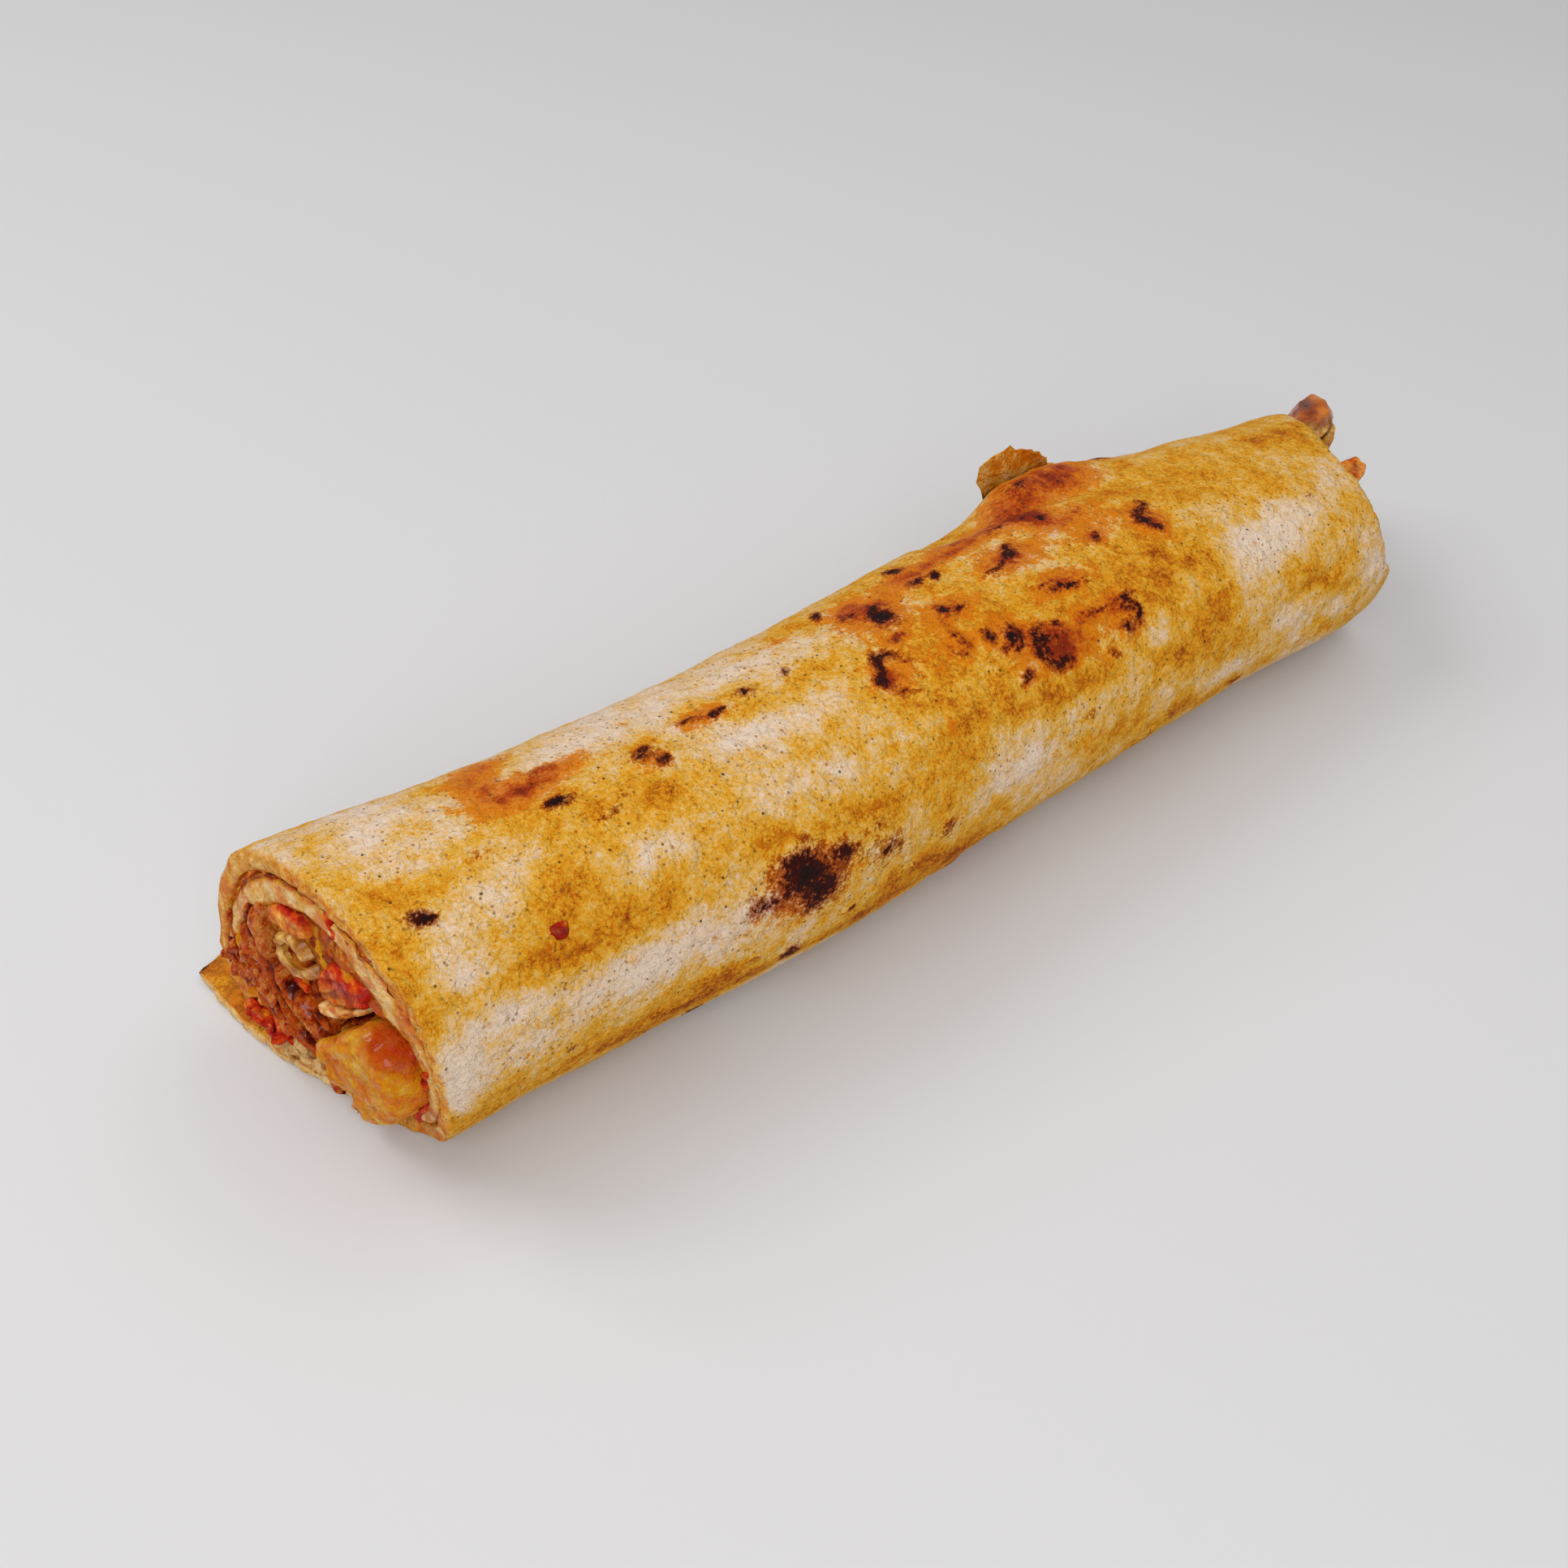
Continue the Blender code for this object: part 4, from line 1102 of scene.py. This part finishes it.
def wedge_zone(v):
    """1 where the wedge is orange: its lower half at the cut, and its far tip."""
    return max(ease((3.15 - v.z) / 0.4), ease((v.x - 9) / 1.0))


def cap_zone(v):
    """1 on the dark skin at the pepper's far tip."""
    return ease((v.x - 11.3) / 0.3) * ease((v.z - 3.0 + 0.5 * (v.y + 0.5)) / 0.5 + 0.3)


TAIL_PULL, TAIL_X, TAIL_Z = 0.3, -13.95, 0.7


def pull_tail(made):
    """Draws the lower left of the chunk's drooping tail to the front, where the photograph has it."""
    for vert in made.data.vertices:
        v = (vert.co - SHIFT) / CM
        share = ease((TAIL_X - v.x) / 0.35) * ease((TAIL_Z - v.z) / 0.5) * ease((v.y + 2.9) / 1.2)
        vert.co.y -= TAIL_PULL * share * CM


FILLINGS = (
    # piece, solid it stands for, finish, slot, grain, fibre, crag, how far its near end is drawn out
    ("chunk", "chicken_chunk", chicken, "chicken", -55, 0.035, 0.035, 0.0, chunk_zone),
    ("top_strip", "chicken_strip_top", glazed, "meat", 75, 0.06, 0.04, 0.0, None),
    ("upper_slice", "meat_strip_upper", meat, "meat", 55, 0.075, 0.04, 0.08, None),
    ("back_slice", "meat_strip_back", meat, "meat", 50, 0.075, 0.04, 0.14, None),
    ("low_slice", "meat_strip_low", meat, "meat", 5, 0.04, 0.03, 0.1, None),
    ("front_scrap", "meat_piece_front", meat, "meat", 80, 0.05, 0.04, 0.05, None),
    ("wedge", "tomato_wedge", tomato, "tomato", -40, 0.03, 0.05, 0.06, wedge_zone),
    ("slice", "tomato_slice", tomato, "tomato", 0, 0.02, 0.035, 0.04, slice_zone),
    ("low_tomato", "tomato_low", tomato, "tomato", 0, 0.01, 0.02, 0.04, None),
    ("onion", "onion_strip", onion, "onion", -30, 0.03, 0.02, 0.0, None),
    ("green_pepper", "roasted_pepper", pepper, "pepper", 0, 0.02, 0.025, 0.05, cap_zone),
)
FINER = {"onion": (0.028, 3), "green_pepper": (0.028, 3), "chunk": (0.04, 6)}
for name, node, finish, slot, grain, fibre, crag, out, zone in FILLINGS:
    made = filling(name, node, finish, grain, fibre, crag, out, *FINER.get(name, ()))
    if name == "chunk":
        pull_tail(made)
    if zone:
        mark(made, "zone", zone)

# %% [markdown]
# ## Sauce and scraps
# Between the pieces there is sauce with small scraps in it, set back from the cut. A disc is bent to the
# room inside the bread, drawn in along the wrap, and roughened. Without it the gaps would look like
# deep holes.

# %% Sauce behind the cut
BED_BACK, BED_DEPTH, BED_RINGS, BED_SIDES = (0.03, 0.3), 1.0, 44, 160
SAUCE_LUMPS, SAUCE_SCRAPS = ((0.42, 0.07), (0.16, 0.05)), 0.035
GAPS = (
    # y and z at both ends, half width, depth
    (-1.15, 1.8, -1.5, 2.1, 0.07, 0.3), (-1.65, 2.3, -2.35, 2.95, 0.08, 0.35),
    (-2.3, 3.0, -2.9, 3.15, 0.07, 0.25), (-0.45, 0.95, -0.95, 1.05, 0.08, 0.3),
    (-0.1, 3.0, -0.3, 2.6, 0.08, 0.2), (-3.2, 1.1, -3.5, 1.9, 0.06, 0.2),
    (-0.5, 3.2, -0.8, 2.95, 0.14, 0.35), (0.6, 1.9, 0.3, 2.4, 0.05, 0.15),
)


def gap_depth(y, z):
    """How deep the gaps between the pieces are. Through the height mask the sauce is also painted dark
    there, as shade.
    """
    deepest = 0.0
    for y0, z0, y1, z1, width, depth in GAPS:
        far, share = off_line((y1 - y0, z1 - z0), (y - y0, z - z0))
        deepest = max(deepest, depth * (1 - ease(far / width / 2)))
    return deepest


def sauce_lump(spot):
    """Height of the sauce and small scraps between the pieces."""
    stretched = Vector((spot.x, (spot.y + spot.z) / 0.5, (spot.z - spot.y) / 0.18))
    scraps = 1 - 3 * abs(noise.noise(stretched))
    return layered(spot, SAUCE_LUMPS) + SAUCE_SCRAPS * scraps


def corner_order(face):
    """A number that sorts faces by the three lowest numbers of their corners."""
    first, second, third = sorted(v.index for v in face.verts)[:3]
    return (first * 1e5 + second) * 1e5 + third


def bed(name, side):
    """A lumpy plug of sauce, near (side 0) or far (side 1)."""
    bm = bmesh.new()
    bmesh.ops.create_circle(bm, cap_ends=True, cap_tris=True, segments=BED_SIDES, radius=1.0)
    spokes = [e for e in bm.edges if not e.is_boundary]
    bmesh.ops.subdivide_edges(bm, edges=spokes, cuts=BED_RINGS, use_grid_fill=True)
    deep = bmesh.ops.extrude_face_region(bm, geom=bm.faces[:])["geom"]
    back = {v for v in deep if isinstance(v, bmesh.types.BMVert)}
    height = bm.verts.layers.float.new("height")
    for vert in bm.verts:
        share = math.hypot(vert.co.x, vert.co.y)
        turn = math.degrees(math.atan2(vert.co.x, -vert.co.y)) % 360
        x = FAR_X if side else NEAR_X
        y, z = ring(x, turn, ROOM_INSET - 0.12)
        middle = (curve_through(STATION_X, MIDLINE_Y, x), curve_through(STATION_X, HEIGHT, x) / 2)
        y, z = middle[0] + (y - middle[0]) * share, middle[1] + (z - middle[1]) * share
        edge = ends(y, z)[side]
        lump = sauce_lump(Vector((side * 5.0, y, z))) - gap_depth(y, z) * (1 - side)
        # A lower height, in low places and in the gaps, paints the sauce darker: painted shade.
        vert[height] = 0.5 + lump * 4
        inward = BED_BACK[side] - lump + (BED_DEPTH if vert in back else 0)
        vert.co = (edge - inward if side else edge + inward, y, z)
    bmesh.ops.recalc_face_normals(bm, faces=bm.faces)
    # Extruding makes the plug's wall in another order each run, so the faces are sorted.
    bm.verts.index_update()
    bm.faces.sort(key=corner_order)
    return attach(piece(name, bm, sauce.material, 60), "root")


bed("sauce_near", 0)
bed("sauce_far", 1)
print("sauce beds made")

# %% [markdown]
# Sauce also fills the seam between the turns of bread. A cylinder's wall is bent along the seam: round
# it goes from seam to bread and back, and along it goes round the roll.

# %% Sauce between the layers
FILM_STEPS, FILM_SIDES, FILM_DEPTH, FILM_START, FILM_END = 230, 12, 0.5, 372.0, 668.0


def film(name, side):
    """Sauce in the near (side 0) or far (side 1) seam."""
    bm = bmesh.new()
    bmesh.ops.create_cone(bm, cap_ends=True, segments=FILM_SIDES, radius1=1, radius2=1, depth=1)
    long_edges = [e for e in bm.edges if abs(e.verts[0].co.z - e.verts[1].co.z) > 0.5]
    bmesh.ops.subdivide_edges(bm, edges=long_edges, cuts=FILM_STEPS, use_grid_fill=True)
    height = bm.verts.layers.float.new("height")
    x = FAR_X if side else NEAR_X
    for vert in bm.verts:
        turn = FILM_START + (FILM_END - FILM_START) * (vert.co.z + 0.5)
        outer = layer_inset(x, turn - 360) + BREAD_THICK / 2
        inner = layer_inset(x, turn) - BREAD_THICK / 2
        half = (inner - outer) / 2 + 0.035
        y, z = ring(x, turn, (inner + outer) / 2 + half * vert.co.y)
        lump = 0.09 * noise.noise(Vector((turn / 9, vert.co.y, side * 9)))
        lump += 0.07 * noise.noise(Vector((turn / 3, vert.co.y * 2, 4)))
        back = 0.05 + lump + FILM_DEPTH * (1 + vert.co.x) / 2
        edge = ends(y, z)[side]
        # Sauce set deeper gets a lower height, which paints it darker: painted shade.
        vert[height] = 0.5 - lump * 4
        vert.co = (edge - back if side else edge + back, y, z)
    bmesh.ops.recalc_face_normals(bm, faces=bm.faces)
    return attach(piece(name, bm, sauce.material, 60), "root")


film("sauce_seam_near", 0)
film("sauce_seam_far", 1)
print("seams filled")

# %% [markdown]
# Torn scraps lie between the larger pieces and spill over the bread at the lower back of the cut. Each is
# a ball, drawn out to a shred and given the same crags as the fillings. Balls are quick to place one by
# one, and a few hundred faces each are enough at this size.

# %% Scraps at the cut
SCRAP_DETAIL = 4
MEAT_SCRAPS = (
    # y, z, half length, half width, lean in degrees, how far out
    (1.05, 2.0, 0.34, 0.17, 60, 0.0), (0.7, 2.3, 0.3, 0.14, 120, 0.04), (1.15, 2.6, 0.34, 0.1, 85, 0.0),
    (0.35, 1.9, 0.32, 0.18, 20, 0.06), (0.1, 1.7, 0.24, 0.16, 100, 0.06),
    (0.75, 1.75, 0.3, 0.15, 150, 0.04), (-0.1, 2.1, 0.55, 0.08, 28, 0.06),
    (-0.4, 1.85, 0.6, 0.08, 30, 0.07), (-0.7, 1.6, 0.5, 0.08, 26, 0.06),
    (-0.2, 1.5, 0.45, 0.09, 34, 0.06), (-0.8, 1.95, 0.42, 0.07, 24, 0.04),
    (-0.5, 1.25, 0.45, 0.11, 30, 0.04), (-1.35, 0.8, 0.36, 0.15, 75, 0.12),
    (-1.6, 0.85, 0.36, 0.13, 105, 0.14), (-1.15, 0.55, 0.3, 0.14, 60, 0.12),
    (-2.35, 3.2, 0.36, 0.1, 5, -0.04), (0.35, 3.25, 0.32, 0.15, 75, 0.06),
    (0.15, 2.6, 0.4, 0.1, 100, 0.02), (1.35, 1.6, 0.24, 0.12, 40, 0.0),
)
TOMATO_SCRAPS = (
    (0.6, 0.98, 0.34, 0.16, 12, 0.05), (0.2, 0.85, 0.36, 0.16, -14, 0.08),
    (0.0, 1.1, 0.3, 0.13, 30, 0.06), (0.9, 0.75, 0.2, 0.12, 40, 0.02),
    (-1.75, 4.45, 0.28, 0.09, 50, -0.06), (-2.7, 4.45, 0.2, 0.06, -20, -0.06),
    (-3.1, 4.2, 0.2, 0.06, -40, -0.06), (1.4, 2.3, 0.34, 0.06, 85, -0.02),
    (-2.95, 0.95, 0.4, 0.09, 110, 0.0), (-3.45, 2.1, 0.7, 0.08, 113, 0.0),
    (-3.2, 1.3, 0.6, 0.08, 116, 0.02), (-0.6, 2.45, 0.24, 0.1, 40, 0.0),
)
GOLDEN_SCRAPS = (
    (0.8, 1.42, 0.36, 0.12, -14, 0.03), (0.5, 1.3, 0.26, 0.1, -30, 0.03),
    (-1.9, 3.5, 0.34, 0.07, 20, -0.02), (-1.25, 3.4, 0.36, 0.06, 78, -0.02),
    (0.95, 2.3, 0.24, 0.08, 70, 0.0), (-1.35, 1.35, 0.24, 0.08, 40, 0.06),
)
CRUMB_SCRAPS = (
    (-0.3, 0.6, 0.36, 0.15, 10, 0.04), (-0.75, 0.55, 0.34, 0.16, -8, 0.04),
    (-0.3, 0.76, 0.2, 0.08, 10, 0.04), (0.2, 0.45, 0.4, 0.12, 0, 0.02),
)
PEPPER_SCRAPS = ((-0.45, 2.92, 0.36, 0.2, 40, -0.32),)
SHAPE_NOISE = 0.75
draw = random.Random(31)


FAR_RANGES = ((-3.0, 0.4), (0.8, 3.2), (0.2, 0.45), (0.08, 0.16), (0, 180), (-0.25, 0.0))


def far_scraps(count):
    """Scraps for the far opening, which doesn't show, drawn at random inside the bread."""
    return [[draw.uniform(low, high) for low, high in FAR_RANGES] for _ in range(count)]


def scraps(name, slot, finish, near, far_count, fibre=0.035):
    """One piece with all the scraps of a kind, at the cut and in the far opening."""
    bm = bmesh.new()
    # The height mask lets the finishes paint the scraps' furrows darker, as shade.
    height = bm.verts.layers.float.new("height")
    for side, places in enumerate((near, far_scraps(far_count))):
        for y, z, length, width, lean, out in places:
            turned = Matrix.Rotation(math.radians(lean), 3, "X")
            edge = ends(y, z)[side] + (out if side else -out)
            for vert in bmesh.ops.create_icosphere(bm, subdivisions=SCRAP_DETAIL, radius=1.0)["verts"]:
                way = turned @ vert.co
                spot = turned @ Vector((vert.co.x * width, vert.co.y * length, vert.co.z * width))
                spot = Vector((edge, y, z)) + spot
                rise = crags(spot, lean, fibre, width * 0.4)
                vert[height] = 0.5 + 0.5 * rise / (fibre + width * 0.4)
                bend = noise.noise_vector(spot / 0.23) + 0.5 * noise.noise_vector(spot / 0.1)
                vert.co = spot + way * rise + bend * width * SHAPE_NOISE
                vert.co.z = max(vert.co.z, 0.04)
    print(name, len(bm.faces), "faces")
    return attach(piece(name, bm, finish.material), "root")


scraps("meat_scraps", "meat", meat, MEAT_SCRAPS, 10)
scraps("tomato_scraps", "tomato", tomato, TOMATO_SCRAPS, 5, 0.02)
scraps("golden_scraps", "chicken", chicken, GOLDEN_SCRAPS, 3, 0.02)
# The scrap that floors the pepper's hollow gets the dark outside mixed in: painted shade of the hollow.
mark(scraps("pepper_scraps", "pepper", pepper, PEPPER_SCRAPS, 0, 0.01), "zone", lambda v: 0.55)
scraps("crumb_scraps", "bread", soft, CRUMB_SCRAPS, 0, 0.02)

# %% [markdown]
# One red flake of dried pepper sticks to the bread. It is a ball pressed flat against the surface.

# %% Red flake
RED_AT, RED_SIZE, RED_CURL = (-11.15, 128.0), (0.17, 0.13, 0.025), 0.07
spot, angle, lift = on_sheet(*RED_AT)
outward = (spot - Vector((spot.x, curve_through(STATION_X, MIDLINE_Y, spot.x), 2.4))).normalized()
bm = bmesh.new()
bm.verts.layers.float.new("height")
stand = outward.to_track_quat("Z", "Y").to_matrix().to_4x4()
bmesh.ops.create_icosphere(bm, subdivisions=4, radius=1.0)
for vert in bm.verts:
    vert.co = Vector([along * size for along, size in zip(vert.co, RED_SIZE)])
    from_middle = Vector((vert.co.x, vert.co.y, 0)).length
    vert.co += RED_CURL * noise.noise_vector(vert.co / 0.12) * from_middle / 0.15
moved = Matrix.Translation(spot + outward * (BREAD_THICK / 2 + 0.02))
bmesh.ops.transform(bm, verts=bm.verts, matrix=moved @ stand)
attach(piece("red_flake", bm, tomato.material), "root")
print("red flake at", [round(v, 2) for v in spot])

# %% [markdown]
# ## View and light
# The photograph looks down on the wrap from its near left. The camera stands where the fitted view says,
# and soft light comes from above and behind on the left, with a weak fill from the front.

# %% Floor, camera and lamps
floor_mesh = bpy.data.meshes.new("floor")
bm = bmesh.new()
bmesh.ops.create_grid(bm, x_segments=1, y_segments=1, size=3.0)
bm.to_mesh(floor_mesh)
bm.free()
floor = bpy.data.objects.new("floor", floor_mesh)
ground = Finish("pale floor", Roughness=0.6)
ground.set("Base Color", tone(204, 203, 204))
floor_mesh.materials.append(ground.material)
bpy.context.scene.collection.objects.link(floor)

view = bpy.data.cameras.new("view")
view.lens, view.sensor_width = 39.13, 36.0
camera = bpy.data.objects.new("view", view)
camera.location = Vector((-19.515, -19.840, 23.39)) * CM + SHIFT
camera.rotation_euler = (math.radians(48), 0, math.radians(-39.36))
bpy.context.scene.collection.objects.link(camera)
bpy.context.scene.camera = camera


def lamp(name, place, power, size):
    """A square white light that looks at the wrap."""
    light = bpy.data.lights.new(name, "AREA")
    light.energy, light.size = power, size
    made = bpy.data.objects.new(name, light)
    made.location = place
    made.rotation_euler = (-Vector(place)).to_track_quat("-Z", "Y").to_euler()
    bpy.context.scene.collection.objects.link(made)


lamp("window", (-0.5, 0.75, 0.95), 6.5, 0.7)
lamp("room", (-0.6, -0.75, 0.8), 8.8, 0.9)
lamp("ceiling", (0.4, 0.0, 1.3), 3.6, 1.0)
world = bpy.data.worlds.new("room")
world.use_nodes = True
world.node_tree.nodes["Background"].inputs["Color"].default_value = (1.0, 1.0, 1.0, 1)
world.node_tree.nodes["Background"].inputs["Strength"].default_value = 0.4
bpy.context.scene.world = world
bpy.context.scene.view_settings.view_transform = "Standard"
print("camera at", [round(v, 3) for v in camera.location])
